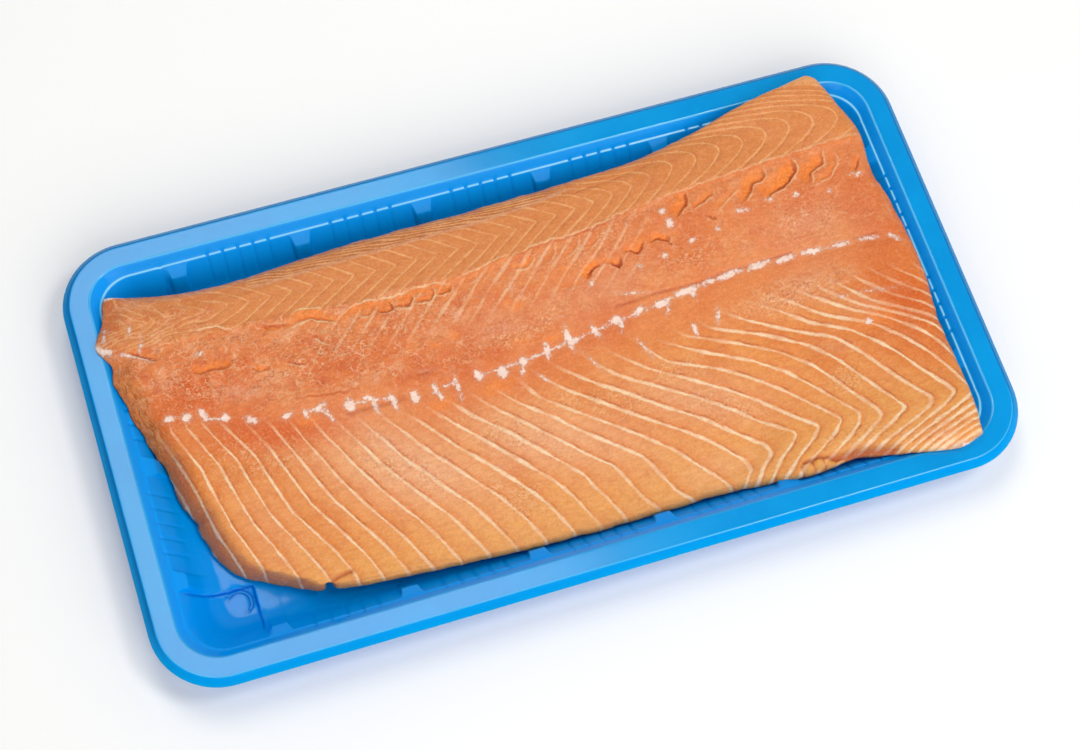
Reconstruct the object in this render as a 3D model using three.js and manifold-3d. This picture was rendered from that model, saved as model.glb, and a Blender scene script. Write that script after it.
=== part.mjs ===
// A raw fish fillet lying flesh side up in a thermoformed plastic tray, with no film over it.
// Millimetres, +Z up. The origin is at the bottom centre, under the tray's feet. +X runs along
// the tray and +Y runs from the fillet's belly edge to its back.
import * as THREE from 'three';
import Module from 'manifold-3d';
import { mergeVertices } from 'three/addons/utils/BufferGeometryUtils.js';

const wasm = await Module();
wasm.setup();

// ---- Tray: driving dimensions ----
const FLANGE_LENGTH = 400;        // outer edge of the flat flange, along X
const FLANGE_ACROSS = 213;        // and along Y
const TRAY_HEIGHT = 25;
const SHEET = 0.8;                // thickness of the plastic
const CORNER_RADIUS = 28.5;       // in plan, at the flange's outer edge
const FLOOR_CORNER_RADIUS = 8;    // in plan, at the edge of the floor
const FLANGE_WIDTH = 9.5;
const SKIRT_DROP = 3.6;
const SKIRT_FLARE = 3;
const COLLAR_RUN = 4.25;          // the bevel from the flange down to the ledge line
const COLLAR_DROP = 4.5;
const WALL_DRAFT = THREE.MathUtils.degToRad(35);
const FOOT_DEPTH = 1.6;           // the corner feet stand this far below the main floor
const FLOOR_FILLET = 14.6;
const FOOT_FILLET = 12.5;
const ARC_STEPS = 9;              // segments of each corner in plan

const LUG_TOP_WIDTH = 10;         // stacking lugs, wedges that stick out of the walls
const LUG_LOW_WIDTH = 7.2;
const LUG_SIDE = 0.7;
const LUG_DROP = 3.7;             // from the ledge line to the lug's lower edge
const LUG_REACH = 3;
const FLUTE_WIDTH = 2;            // narrow grooves between the lugs
const FLUTE_DEPTH = 1;
const FLUTES_IN_GROUP = 5;
const LONG_PITCH = 59;            // from lug to lug on the long sides
const LONG_FLUTE_PITCH = 7.25;
const SHORT_PITCH = 56;
const SHORT_FLUTE_PITCH = 7.2;

const FOOT_EDGE = [153, 61];      // where the step down to a foot starts, at floor level
const FOOT_STEP_RUN = [1.5, 1.7];
const FOOT_JOINT = 1;
const FOOT_TURN = 3;
const FOOT_RING_CENTRE = [161.5, 67.9];
const FOOT_RING_RADII = [4.9, 6.3];
const FOOT_RING_DEPTH = 0.35;

// ---- Fillet: driving dimensions ----
const GAP = 0.4;                  // clearance between the fillet and the tray
// The rim is the widest outline of the fillet: x, y and height of each point.
const BELLY_RIM = [
  [-128, -73.5, 9], [-116, -78, 12], [-67, -83, 13], [5, -86, 13], [54, -85.5, 13], [80, -87.5, 14.5],
  [98, -91, 19.5], [111, -90.2, 19.5], [122, -88.8, 20], [134, -92, 22], [145, -95.2, 24.5],
  [157, -98.5, 26.8], [168, -100, 27.2], [179, -96.8, 27.2],
];
const RIGHT_RIM = [
  [179, -96.8, 27.2], [181, -84.5, 26.5], [182.5, -60, 23.5], [182.3, -36.5, 22.5], [185, -15, 22],
  [184, 22, 22], [180.5, 46, 22.5], [181.7, 64, 24], [176.5, 80.5, 26.5], [172.5, 91.5, 27.5],
  [165, 99.7, 28.5],
];
const BACK_RIM = [
  [-183.5, 84, 21.8], [-172.6, 81.7, 19.5], [-148, 77.7, 15], [-125, 76.8, 14], [-78, 79.9, 14],
  [-7, 80.6, 14], [40, 81.7, 14.5], [64, 82.6, 16], [86, 85.6, 19], [108, 89.4, 22.5],
  [131, 94.6, 26], [153, 98, 28], [165, 99.7, 28.5],
];
const CUT_RIM = [
  [-128, -73.5, 9], [-136, -69.8, 6], [-157, -58, 5.5], [-164, -49, 5.5], [-168.3, -38, 6],
  [-170.5, -27, 7], [-175, -15.5, 8.5], [-176.5, -3.5, 11], [-180.5, 6, 14.5], [-183, 17, 17.5],
  [-186, 27.6, 21.3], [-188.6, 38, 24], [-188, 49.5, 24.3], [-192.5, 58, 26.3], [-187.2, 71.8, 24],
  [-183.5, 84, 21.8],
];
// Height of the flesh from the belly edge (0) to the back (1), away from the ends.
const CROWN = [[0, 17], [0.08, 18], [0.3, 20.5], [0.5, 23], [0.64, 26.5], [0.8, 30], [0.92, 29.5], [1, 26]];
const END_THICKNESS = 6;          // flesh above the rim where the ends climb over the tray's wall
const EDGE_ROUNDING = 9;
const UNDER_TUCK = 6;             // how far the side of the fillet draws in from the rim to the floor
const SPINE_HALF = 150;           // half the length of the line that it draws in towards
const CUT_SLOPE_RUN = 10;         // the sloping cut face at the left end, in plan
const COLUMNS = 66;               // grid of the top surface along and across the fillet
const ROWS = 30;

// The torn seam between the back and the loin: a low step with deeper pits along it.
const TORN_SEAM = [
  [-190, 56], [-170, 46], [-152, 39], [-117, 47], [-82, 46], [-47, 43], [-6, 47], [36, 53],
  [69, 57], [106, 58], [140, 60], [172, 66],
];
const SEAM_STEP = 1.4;
const SEAM_WIDTH = 7;
// Pits where the flakes have parted: x, y, half length, half width, depth, turn in degrees.
const PITS = [
  [-171, 45, 8, 3.5, 2.6, -20], [-130, 39, 12, 3.5, 2.2, 8], [-111, 48, 8, 4, 3, 10], [-88, 48, 9, 3.5, 2, -8],
  [-62, 45, 12, 4, 2.4, -4], [-38, 42, 10, 4.5, 3, 5], [-14, 44, 11, 4.5, 3, 10], [8, 48, 11, 4.5, 3.2, 12],
  [36, 31, 7, 4.5, 3.6, 30], [49, 33, 6, 3.5, 2.6, 20], [64, 38, 7, 3.5, 2.8, 25], [82, 50, 7, 4, 3, 60],
  [104, 56, 7, 4.5, 2.8, 20], [126, 57, 9, 5, 3.4, 30], [143, 60, 7, 4.5, 3, 10], [160, 58, 6, 3, 2.4, 70],
];
const MYOMERE_PITCH = 16;         // bands of flesh below the centre line
const MYOMERE_RELIEF = 0.5;
const CENTRE_LINE = [[-190, 19], [-146, 10], [-91, -1], [-50, -4], [3, 0], [73, 9], [111, 13], [152, 12], [190, 8]];

const FLESH = new THREE.MeshStandardMaterial({ color: 0xe08a55, roughness: 0.35, metalness: 0, flatShading: true });
const BLUE_PLASTIC = new THREE.MeshStandardMaterial({ color: 0x0a86dc, roughness: 0.3, metalness: 0, flatShading: true });

// ---- Small helpers ----
const lerp = THREE.MathUtils.lerp;

// Straight-line interpolation in a list of [position, value] pairs.
function interpolate(table, at) {
  for (let i = 1; i < table.length; i += 1) {
    if (at <= table[i][0]) {
      const [from, low] = table[i - 1];
      const [to, high] = table[i];
      return lerp(low, high, Math.max(0, (at - from) / (to - from)));
    }
  }
  return table[table.length - 1][1];
}

// Repeatable noise in -1..1 from whole-number cells, blended smoothly between them.
function noise(x, y) {
  const cell = (i, j) => {
    const wave = Math.sin(i * 127.1 + j * 311.7) * 43758.5453;
    return 2 * (wave - Math.floor(wave)) - 1;
  };
  const i = Math.floor(x);
  const j = Math.floor(y);
  const u = THREE.MathUtils.smoothstep(x - i, 0, 1);
  const v = THREE.MathUtils.smoothstep(y - j, 0, 1);
  return lerp(lerp(cell(i, j), cell(i + 1, j), u), lerp(cell(i, j + 1), cell(i + 1, j + 1), u), v);
}

function solidFrom(points, triangles) {
  return new wasm.Manifold(new wasm.Mesh({
    numProp: 3,
    vertProperties: new Float32Array(points.flat()),
    triVerts: new Uint32Array(triangles.flat()),
  }));
}

function solidFromGeometry(geometry) {
  geometry.deleteAttribute('normal');
  geometry.deleteAttribute('uv');
  const merged = mergeVertices(geometry, 1e-4);
  return new wasm.Manifold(new wasm.Mesh({
    numProp: 3,
    vertProperties: new Float32Array(merged.attributes.position.array),
    triVerts: new Uint32Array(merged.index.array),
  }));
}

function meshFrom(solid, name, material) {
  const { vertProperties, triVerts } = solid.getMesh();
  const geometry = new THREE.BufferGeometry();
  geometry.setAttribute('position', new THREE.BufferAttribute(new Float32Array(vertProperties), 3));
  geometry.setIndex(new THREE.BufferAttribute(new Uint32Array(triVerts), 1));
  geometry.computeVertexNormals();
  const mesh = new THREE.Mesh(geometry, material);
  mesh.name = name;
  return mesh;
}

// ---- Loft: closed rings stacked into one solid ----
// A ring is a list of { t, at: [x, y, z] }. Rings may have different numbers of points, because
// each band between two rings is sewn up in the order of t, the place round the outline.
function loft(rings) {
  const points = [];
  const triangles = [];
  const starts = rings.map((ring) => {
    const start = points.length;
    ring.forEach((station) => points.push(station.at));
    return start;
  });
  for (let k = 1; k < rings.length; k += 1) {
    const [below, above] = [rings[k - 1], rings[k]];
    const low = (i) => starts[k - 1] + (i % below.length);
    const high = (j) => starts[k] + (j % above.length);
    const place = (ring, i) => (i < ring.length ? ring[i].t : Infinity);
    let [i, j] = [0, 0];
    while (i < below.length || j < above.length) {
      const stepLow = j === above.length || (i < below.length && place(below, i + 1) <= place(above, j + 1));
      if (stepLow) {
        triangles.push([low(i), low(i + 1), high(j)]);
        i += 1;
      } else {
        triangles.push([low(i), high(j + 1), high(j)]);
        j += 1;
      }
    }
  }
  const cap = (ring, start, facesUp) => {
    const centre = points.length;
    points.push([0, 0, ring[0].at[2]]);
    ring.forEach((station, i) => {
      const next = start + ((i + 1) % ring.length);
      triangles.push(facesUp ? [centre, start + i, next] : [centre, next, start + i]);
    });
  };
  cap(rings[0], starts[0], false);
  cap(rings[rings.length - 1], starts[rings.length - 1], true);
  return solidFrom(points, triangles);
}

// ---- Tray ----
// Lugs and flutes on the four sides, in the order near, right, far, left.
function featuresAlong(lugs, groups, pitch) {
  const flutes = groups.flatMap((group) => (
    Array.from({ length: FLUTES_IN_GROUP }, (_, i) => group + (i - (FLUTES_IN_GROUP - 1) / 2) * pitch)
  ));
  const pastLastLug = Math.max(...lugs) + LUG_TOP_WIDTH / 2 - 0.5;
  return [
    ...lugs.map((centre) => ({ centre, kind: 'lug' })),
    ...flutes.map((centre) => ({ centre, kind: 'flute' })),
    ...[-1, 1].map((end) => ({ centre: end * pastLastLug, kind: 'sideEnd' })),
  ].sort((a, b) => a.centre - b.centre);
}
const LONG_FEATURES = featuresAlong(
  [-2.5, -1.5, -0.5, 0.5, 1.5, 2.5].map((k) => k * LONG_PITCH),
  [-2, -1, 0, 1, 2].map((k) => k * LONG_PITCH),
  LONG_FLUTE_PITCH,
);
const SHORT_FEATURES = featuresAlong(
  [-1, 0, 1].map((k) => k * SHORT_PITCH),
  [-0.5, 0.5].map((k) => k * SHORT_PITCH),
  SHORT_FLUTE_PITCH,
);

function cornerRadius(inset) {
  if (inset < FLANGE_WIDTH) return CORNER_RADIUS - inset;
  const reach = FLOOR_EDGE_INSET - FLANGE_WIDTH;
  return lerp(CORNER_RADIUS - FLANGE_WIDTH, FLOOR_CORNER_RADIUS, (inset - FLANGE_WIDTH) / reach);
}

// One level of the tray: a rounded rectangle drawn in by level.inset from the flange's outer
// edge. level.lug, level.flute and level.sideEnd list [offset along the side, push into the
// tray] pairs.
function ringAt(level) {
  const ring = [];
  for (let side = 0; side < 4; side += 1) {
    const isLong = side % 2 === 0;
    const half = (isLong ? FLANGE_LENGTH : FLANGE_ACROSS) / 2 - level.inset;
    const out = (isLong ? FLANGE_ACROSS : FLANGE_LENGTH) / 2 - level.inset;
    const radius = cornerRadius(level.inset);
    const turn = side * Math.PI / 2;
    const add = (t, along, outward) => ring.push({
      t: side * 10 + t,
      at: [
        along * Math.cos(turn) + outward * Math.sin(turn),
        along * Math.sin(turn) - outward * Math.cos(turn),
        level.z,
      ],
    });
    add(0, radius - half, out);
    for (const feature of isLong ? LONG_FEATURES : SHORT_FEATURES) {
      for (const [offset, push] of level[feature.kind] ?? []) {
        const along = feature.centre + offset;
        add(4 + along / 100, along, out - push);
      }
    }
    for (let i = 0; i < ARC_STEPS; i += 1) {
      const angle = i / ARC_STEPS * Math.PI / 2;
      add(8 + i / ARC_STEPS, half - radius + radius * Math.sin(angle), out - radius + radius * Math.cos(angle));
    }
  }
  return ring;
}

const LEDGE_INSET = FLANGE_WIDTH + COLLAR_RUN;
const LEDGE_Z = TRAY_HEIGHT - COLLAR_DROP;
const MAIN_FLOOR_Z = FOOT_DEPTH + SHEET;
const wallInset = (z) => LEDGE_INSET + (LEDGE_Z - z) * Math.tan(WALL_DRAFT);
const filletRun = (radius) => radius * Math.tan((Math.PI / 2 - WALL_DRAFT) / 2);
const FLOOR_EDGE_INSET = wallInset(MAIN_FLOOR_Z) + filletRun(FLOOR_FILLET);

// The rounded foot of the wall, from the floor's edge up to the straight wall.
function filletLevels(floorZ, radius) {
  const centre = wallInset(floorZ) + filletRun(radius);
  return [Math.PI / 2, (Math.PI / 2 + WALL_DRAFT) / 2, WALL_DRAFT].map((angle) => ({
    inset: centre - radius * Math.cos(angle),
    z: floorZ + radius - radius * Math.sin(angle),
  }));
}

const FLUTE_STATIONS = [[-FLUTE_WIDTH / 2, 0], [0, -FLUTE_DEPTH], [FLUTE_WIDTH / 2, 0]];
const PLAIN_STATION = [[0, 0]];
const lowLug = LUG_LOW_WIDTH / 2;
const [floorEdge, filletMiddle, wallFoot] = filletLevels(MAIN_FLOOR_Z, FLOOR_FILLET);
[floorEdge, filletMiddle, wallFoot].forEach((level) => { level.sideEnd = PLAIN_STATION; });
filletMiddle.flute = PLAIN_STATION;
wallFoot.lug = [[-lowLug, 0], [lowLug, 0]];
wallFoot.flute = FLUTE_STATIONS;
const lugEdge = {
  inset: wallInset(LEDGE_Z - LUG_DROP),
  z: LEDGE_Z - LUG_DROP,
  lug: [[-lowLug - LUG_SIDE, 0], [-lowLug, LUG_REACH], [lowLug, LUG_REACH], [lowLug + LUG_SIDE, 0]],
  flute: FLUTE_STATIONS,
};
const ledge = {
  inset: LEDGE_INSET,
  z: LEDGE_Z,
  lug: [[-LUG_TOP_WIDTH / 2, 0], [LUG_TOP_WIDTH / 2, 0]],
  flute: PLAIN_STATION,
};
const flangeInner = { inset: FLANGE_WIDTH, z: TRAY_HEIGHT };
const flangeOuter = { inset: 0, z: TRAY_HEIGHT };
const skirtEdge = { inset: -SKIRT_FLARE, z: TRAY_HEIGHT - SKIRT_DROP };
const MAIN_LEVELS = [floorEdge, filletMiddle, wallFoot, lugEdge, ledge, flangeInner, flangeOuter, skirtEdge];

// Moves each level square to the sheet's surface: down and outward for a positive distance.
function offsetLevels(levels, distance) {
  const normals = levels.map((level, k) => {
    if (k === 0) return [0, -1];
    const run = [level.inset - levels[k - 1].inset, level.z - levels[k - 1].z];
    const length = Math.hypot(...run);
    return [-run[1] / length, run[0] / length];
  });
  return levels.map((level, k) => {
    const [a, b] = [normals[k], normals[Math.min(k + 1, levels.length - 1)]];
    const scale = distance / (1 + a[0] * b[0] + a[1] * b[1]);
    return { ...level, inset: level.inset + (a[0] + b[0]) * scale, z: level.z + (a[1] + b[1]) * scale };
  });
}

function buildTray() {
  const under = offsetLevels(MAIN_LEVELS, SHEET);
  const skirtInside = under[under.length - 1];
  skirtInside.z = skirtEdge.z;
  const filled = loft([...under, skirtEdge, flangeOuter].map(ringAt));
  const mouth = { ...flangeInner, z: TRAY_HEIGHT + 1 };
  const cavity = loft([...MAIN_LEVELS.slice(0, 6), mouth].map(ringAt));

  // The feet: the same wall carried further down, kept only in the four corners. Their solids
  // end just below the foot of the main wall, where they turn in under it.
  const joint = wallFoot.z - FOOT_JOINT;
  const footLevels = [
    ...filletLevels(SHEET, FOOT_FILLET),
    { inset: wallInset(joint), z: joint },
    { inset: wallInset(joint) + FOOT_TURN, z: joint + FOOT_JOINT / 2 },
  ];
  const footUnder = offsetLevels(footLevels, SHEET);
  const footFilled = loft(footUnder.map(ringAt)).intersect(cornerBlocks(SHEET));
  const footCavity = loft(footLevels.map(ringAt)).intersect(cornerBlocks(0));
  return filled.add(footFilled).subtract(cavity).subtract(footCavity).subtract(footRings());
}

// Four blocks that cover the corners, with the sloping step on their inner sides.
function cornerBlocks(grow) {
  const [top, low] = [TRAY_HEIGHT, SHEET];
  const slope = FOOT_STEP_RUN.map((run) => run / FOOT_DEPTH);
  const edgeAt = (z) => FOOT_EDGE.map((edge, k) => edge - grow + Math.max(0, MAIN_FLOOR_Z - z) * slope[k]);
  const heights = [low - 2 * SHEET, low, MAIN_FLOOR_Z, top];
  const blocks = [];
  for (const [sx, sy] of [[1, 1], [-1, 1], [-1, -1], [1, -1]]) {
    const rings = heights.map((z) => {
      const [x, y] = edgeAt(z);
      const corners = [[x, y], [FLANGE_LENGTH, y], [FLANGE_LENGTH, FLANGE_ACROSS], [x, FLANGE_ACROSS]];
      const ordered = sx * sy > 0 ? corners : corners.reverse();
      return ordered.map(([cx, cy]) => [sx * cx, sy * cy, z]);
    });
    blocks.push(prism(rings));
  }
  return wasm.Manifold.union(blocks);
}

// A solid through rings of four corners each, from the lowest to the highest.
function prism(rings) {
  const sides = 4;
  const triangles = [[0, 2, 1], [0, 3, 2]];
  for (let k = 1; k < rings.length; k += 1) {
    for (let i = 0; i < sides; i += 1) {
      const [a, b] = [(k - 1) * sides + i, (k - 1) * sides + (i + 1) % sides];
      triangles.push([a, b, b + sides], [a, b + sides, a + sides]);
    }
  }
  const last = (rings.length - 1) * sides;
  triangles.push([last, last + 1, last + 2], [last, last + 2, last + 3]);
  return solidFrom(rings.flat(), triangles);
}

// Shallow ring grooves in the floor of the feet, cut only where that floor is flat.
function footRings() {
  const [inner, outer] = FOOT_RING_RADII;
  const [low, high] = [SHEET - FOOT_RING_DEPTH, SHEET + 1];
  const profile = [[inner, low], [outer, low], [outer, high], [inner, high], [inner, low]];
  const flat = filletLevels(SHEET, FOOT_FILLET)[0].inset;
  const rings = [];
  for (const [sx, sy] of [[1, 1], [-1, 1], [-1, -1], [1, -1]]) {
    const groove = new THREE.LatheGeometry(profile.map(([r, z]) => new THREE.Vector2(r, z)), 24);
    groove.rotateX(Math.PI / 2);
    groove.translate(sx * FOOT_RING_CENTRE[0], sy * FOOT_RING_CENTRE[1], 0);
    rings.push(solidFromGeometry(groove));
  }
  const floor = new THREE.BoxGeometry(FLANGE_LENGTH - 2 * flat, FLANGE_ACROSS - 2 * flat, 4 * SHEET);
  return wasm.Manifold.union(rings).intersect(solidFromGeometry(floor));
}

// The room that the fillet may fill: the cavity less a small gap, and all the space above it.
// The flesh bridges the flutes and is pressed in by the lugs.
function roomForFillet() {
  const widen = ([offset, push]) => [offset + Math.sign(offset) * GAP, push];
  const plain = MAIN_LEVELS.slice(0, 7).map(({ inset, z, lug = [] }) => (
    { inset, z, lug: lug.map(widen) }
  ));
  const levels = offsetLevels(plain, -GAP);
  const wide = { inset: -30, z: TRAY_HEIGHT + GAP };
  return loft([...levels.slice(0, 6), wide, { ...wide, z: 60 }].map(ringAt));
}

// ---- Fillet ----
function curveThrough(points) {
  return new THREE.CatmullRomCurve3(points.map((p) => new THREE.Vector3(...p)), false, 'centripetal');
}

// Distance from a point to an open polyline, and which side of it the point is on (above is +1).
function besideLine(line, x, y) {
  let nearest = Infinity;
  for (let i = 1; i < line.length; i += 1) {
    const [ax, ay] = line[i - 1];
    const [bx, by] = line[i];
    const along = ((x - ax) * (bx - ax) + (y - ay) * (by - ay)) / ((bx - ax) ** 2 + (by - ay) ** 2);
    const k = THREE.MathUtils.clamp(along, 0, 1);
    nearest = Math.min(nearest, Math.hypot(x - lerp(ax, bx, k), y - lerp(ay, by, k)));
  }
  return nearest * Math.sign(y - interpolate(line, x));
}

// Relief of the flesh: a torn step with pits below the back, and low bands towards the belly.
function relief(x, y) {
  let height = 0;
  const fromSeam = besideLine(TORN_SEAM, x, y);
  if (fromSeam < 0) height -= SEAM_STEP * Math.exp(-((fromSeam / SEAM_WIDTH) ** 2));
  for (const [px, py, halfLength, halfWidth, depth, turn] of PITS) {
    const angle = THREE.MathUtils.degToRad(turn);
    const along = (x - px) * Math.cos(angle) + (y - py) * Math.sin(angle);
    const across = (y - py) * Math.cos(angle) - (x - px) * Math.sin(angle);
    height -= depth * Math.exp(-((along / halfLength) ** 2) - (across / halfWidth) ** 2);
  }
  const fromCentre = besideLine(CENTRE_LINE, x, y);
  if (fromCentre < 0) {
    const phase = (x + 0.45 * fromCentre) / MYOMERE_PITCH;
    const fade = THREE.MathUtils.smoothstep(-fromCentre, 8, 30);
    height += MYOMERE_RELIEF * fade * (Math.abs(Math.sin(Math.PI * phase)) - 0.6);
  }
  return height + 0.5 * noise(x / 9, y / 7) * THREE.MathUtils.smoothstep(fromCentre, -5, 10);
}

// Spacing of the grid across the fillet: closer together at both edges and at the torn seam.
function rowPlace(row) {
  const edges = [[0, 0], [1, 0.012], [2, 0.03], [3, 0.055], [12, 0.42], [15, 0.58], [24, 0.83], [27, 0.945],
    [28, 0.97], [29, 0.988], [30, 1]];
  return interpolate(edges, row);
}

function columnPlace(column) {
  const edges = [[0, 0], [1, 0.009], [2, 0.02], [3, 0.032], [COLUMNS - 3, 0.965], [COLUMNS - 2, 0.98],
    [COLUMNS - 1, 0.992], [COLUMNS, 1]];
  return interpolate(edges, column);
}

function buildFillet() {
  const belly = curveThrough(BELLY_RIM);
  const back = curveThrough(BACK_RIM);
  const cut = curveThrough(CUT_RIM);
  const right = curveThrough(RIGHT_RIM);
  const corners = { a: belly.getPointAt(0), b: belly.getPointAt(1), c: back.getPointAt(0), d: back.getPointAt(1) };

  // A sheet stretched between the four rim curves: p runs along the fillet, q across it.
  const rimSheet = (p, q) => {
    const at = new THREE.Vector3();
    at.addScaledVector(belly.getPointAt(p), 1 - q).addScaledVector(back.getPointAt(p), q);
    at.addScaledVector(cut.getPointAt(q), 1 - p).addScaledVector(right.getPointAt(q), p);
    at.addScaledVector(corners.a, -(1 - p) * (1 - q)).addScaledVector(corners.b, -p * (1 - q));
    at.addScaledVector(corners.c, -(1 - p) * q).addScaledVector(corners.d, -p * q);
    return at;
  };
  const length = belly.getLength();
  const across = right.getLength();

  const points = [];
  for (let row = 0; row <= ROWS; row += 1) {
    for (let column = 0; column <= COLUMNS; column += 1) {
      const [p, q] = [columnPlace(column), rowPlace(row)];
      const at = rimSheet(p, q);
      const crown = Math.max(interpolate(CROWN, q), at.z + END_THICKNESS) + relief(at.x, at.y);
      const toEdge = Math.min(q * across, (1 - q) * across, (1 - p) * length) / EDGE_ROUNDING;
      const toCut = p * length / CUT_SLOPE_RUN;
      const round = Math.sqrt(1 - (1 - Math.min(1, toEdge)) ** 2);
      const sloped = Math.min(1, toCut) ** 0.8;
      const rise = Math.min(round, sloped);
      points.push([at.x, at.y, lerp(at.z, crown, rise)]);
    }
  }
  const index = (row, column) => row * (COLUMNS + 1) + column;
  const triangles = [];
  for (let row = 0; row < ROWS; row += 1) {
    for (let column = 0; column < COLUMNS; column += 1) {
      const [a, b] = [index(row, column), index(row, column + 1)];
      const [c, d] = [index(row + 1, column + 1), index(row + 1, column)];
      triangles.push([a, b, c], [a, c, d]);
    }
  }

  // The rim in order round the fillet, a tucked copy of it below the floor, and a flat underside.
  const rim = [];
  for (let column = 0; column < COLUMNS; column += 1) rim.push(index(0, column));
  for (let row = 0; row < ROWS; row += 1) rim.push(index(row, COLUMNS));
  for (let column = COLUMNS; column > 0; column -= 1) rim.push(index(ROWS, column));
  for (let row = ROWS; row > 0; row -= 1) rim.push(index(row, 0));
  const low = points.length;
  rim.forEach((i) => {
    const [x, y] = points[i];
    const spine = THREE.MathUtils.clamp(x, -SPINE_HALF, SPINE_HALF);
    const tuck = UNDER_TUCK / Math.hypot(x - spine, y);
    points.push([lerp(x, spine, tuck), lerp(y, 0, tuck), 0]);
  });
  rim.forEach((i, k) => {
    const next = (k + 1) % rim.length;
    triangles.push([low + k, low + next, rim[next]], [low + k, rim[next], i]);
  });
  const outline = points.slice(low).map(([x, y]) => new THREE.Vector2(x, y));
  for (const [a, b, c] of THREE.ShapeUtils.triangulateShape(outline, [])) {
    triangles.push([low + a, low + c, low + b]);
  }
  return solidFrom(points, triangles).intersect(roomForFillet());
}

const pack = new THREE.Group();
pack.add(meshFrom(buildTray(), 'tray', BLUE_PLASTIC));
pack.add(meshFrom(buildFillet(), 'fillet', FLESH));

export default pack;
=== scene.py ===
"""A raw fish fillet lying flesh side up in a blue thermoformed plastic tray.

Lengths are in millimetres until a mesh is written; Blender's own units are metres.
"""
import math

import bpy
import numpy as np
from mathutils import Matrix, Vector
from mathutils.geometry import delaunay_2d_cdt


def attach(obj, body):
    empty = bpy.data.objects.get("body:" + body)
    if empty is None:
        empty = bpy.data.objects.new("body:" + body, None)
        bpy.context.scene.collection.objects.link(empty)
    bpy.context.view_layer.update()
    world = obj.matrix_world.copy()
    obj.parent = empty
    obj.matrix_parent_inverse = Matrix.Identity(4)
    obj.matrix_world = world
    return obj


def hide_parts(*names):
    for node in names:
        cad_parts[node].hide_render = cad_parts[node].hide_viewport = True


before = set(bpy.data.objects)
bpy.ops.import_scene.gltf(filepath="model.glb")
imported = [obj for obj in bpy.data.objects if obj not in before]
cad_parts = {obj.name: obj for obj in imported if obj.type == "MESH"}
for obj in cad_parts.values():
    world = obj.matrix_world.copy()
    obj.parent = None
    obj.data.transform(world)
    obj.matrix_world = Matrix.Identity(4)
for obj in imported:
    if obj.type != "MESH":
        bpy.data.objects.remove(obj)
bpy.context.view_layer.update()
MM = 0.001

# ---- Tray: the same driving dimensions as its solid ----
FLANGE_HALF = (200.0, 106.5)
TRAY_HEIGHT = 25.0
SHEET = 0.8
CORNER_RADIUS = 28.5
FLOOR_CORNER_RADIUS = 8.0
FLANGE_WIDTH = 9.5
LEDGE_INSET = 13.75
LEDGE_Z = 20.5
DRAFT = math.radians(35)
MAIN_FLOOR_Z = 2.4
FOOT_FLOOR_Z = 0.8
FLOOR_FILLET = 14.6
FOOT_FILLET = 12.5
FLOOR_INSET = 34.02
LUG_HALF_WIDTHS = (5.0, 3.6)        # at the ledge and at the lug's lower edge
LUG_LOW_INSET = 19.3
FLUTE_DEPTH = 0.95
FLUTE_HALF_WIDTH = 1.15
FOOT_EDGE = (153.0, 61.0)
FOOT_STEP_RUN = (1.5, 1.7)
FOOT_RING_CENTRE = (161.5, 67.9)
FOOT_RING_RADII = (4.9, 6.3)
FOOT_RING_DEPTH = 0.35
LONG_LUGS = [59 * k for k in (-2.5, -1.5, -0.5, 0.5, 1.5, 2.5)]
LONG_FLUTES = [59 * g + 7.25 * (i - 2) for g in (-2, -1, 0, 1, 2) for i in range(5)]
SHORT_LUGS = [-56, 0, 56]
SHORT_FLUTES = [28 * g + 7.2 * (i - 2) for g in (-1, 1) for i in range(5)]
LEDGE_BREAKS = (155.0, 73.0)        # a single break in the ledge near each corner
LEDGE_BREAK_DEPTH = 0.7
RING_INSETS = [
    -3, -2.6, -1.6, -0.6, -0.25, 0.05, 0.35, 0.8, 2.4, 4.8, 7.2, 8.7, 9.15, 9.5, 9.85, 10.3, 11.3, 12.3,
    12.75, 13.05, 13.35, 13.65, 13.95, 14.25, 14.6, 15.2, 16, 16.9, 17.8, 18.6, 19.05, 19.4, 19.8, 20.5,
    21.4, 22.4, 23.5, 24.7, 26, 27.4, 29, 30.7, 32.4, 34.2]
STRAIGHT_HALF = (152.0, 62.5)       # stations stay put up to here and spread towards the corners
CORNER_STEPS = 18
END_STEPS = 12

# ---- Fillet: rim curves (x, y, z) as in its solid ----
BELLY_RIM = [
    (-128, -73.5, 9), (-116, -78, 12), (-67, -83, 13), (5, -86, 13), (54, -85.5, 13), (80, -87.5, 14.5),
    (98, -91, 19.5), (111, -90.2, 19.5), (122, -88.8, 20), (134, -92, 22), (145, -95.2, 24.5),
    (157, -98.5, 26.8), (168, -100, 27.2), (179, -96.8, 27.2)]
RIGHT_RIM = [
    (179, -96.8, 27.2), (181, -84.5, 26.5), (182.5, -60, 23.5), (182.3, -36.5, 22.5), (185, -15, 22),
    (184, 22, 22), (180.5, 46, 22.5), (181.7, 64, 24), (176.5, 80.5, 26.5), (172.5, 91.5, 27.5),
    (169.4, 97.9, 28.3), (165, 99.7, 28.5)]
BACK_RIM = [
    (-183.5, 84, 21.8), (-172.6, 81.7, 19.5), (-148, 77.7, 15), (-125, 76.8, 14), (-78, 79.9, 14),
    (-7, 80.6, 14), (40, 81.7, 14.5), (64, 82.6, 16), (86, 85.6, 19), (108, 89.4, 22.5), (131, 94.6, 26),
    (153, 98, 28), (165, 99.7, 28.5)]
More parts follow.
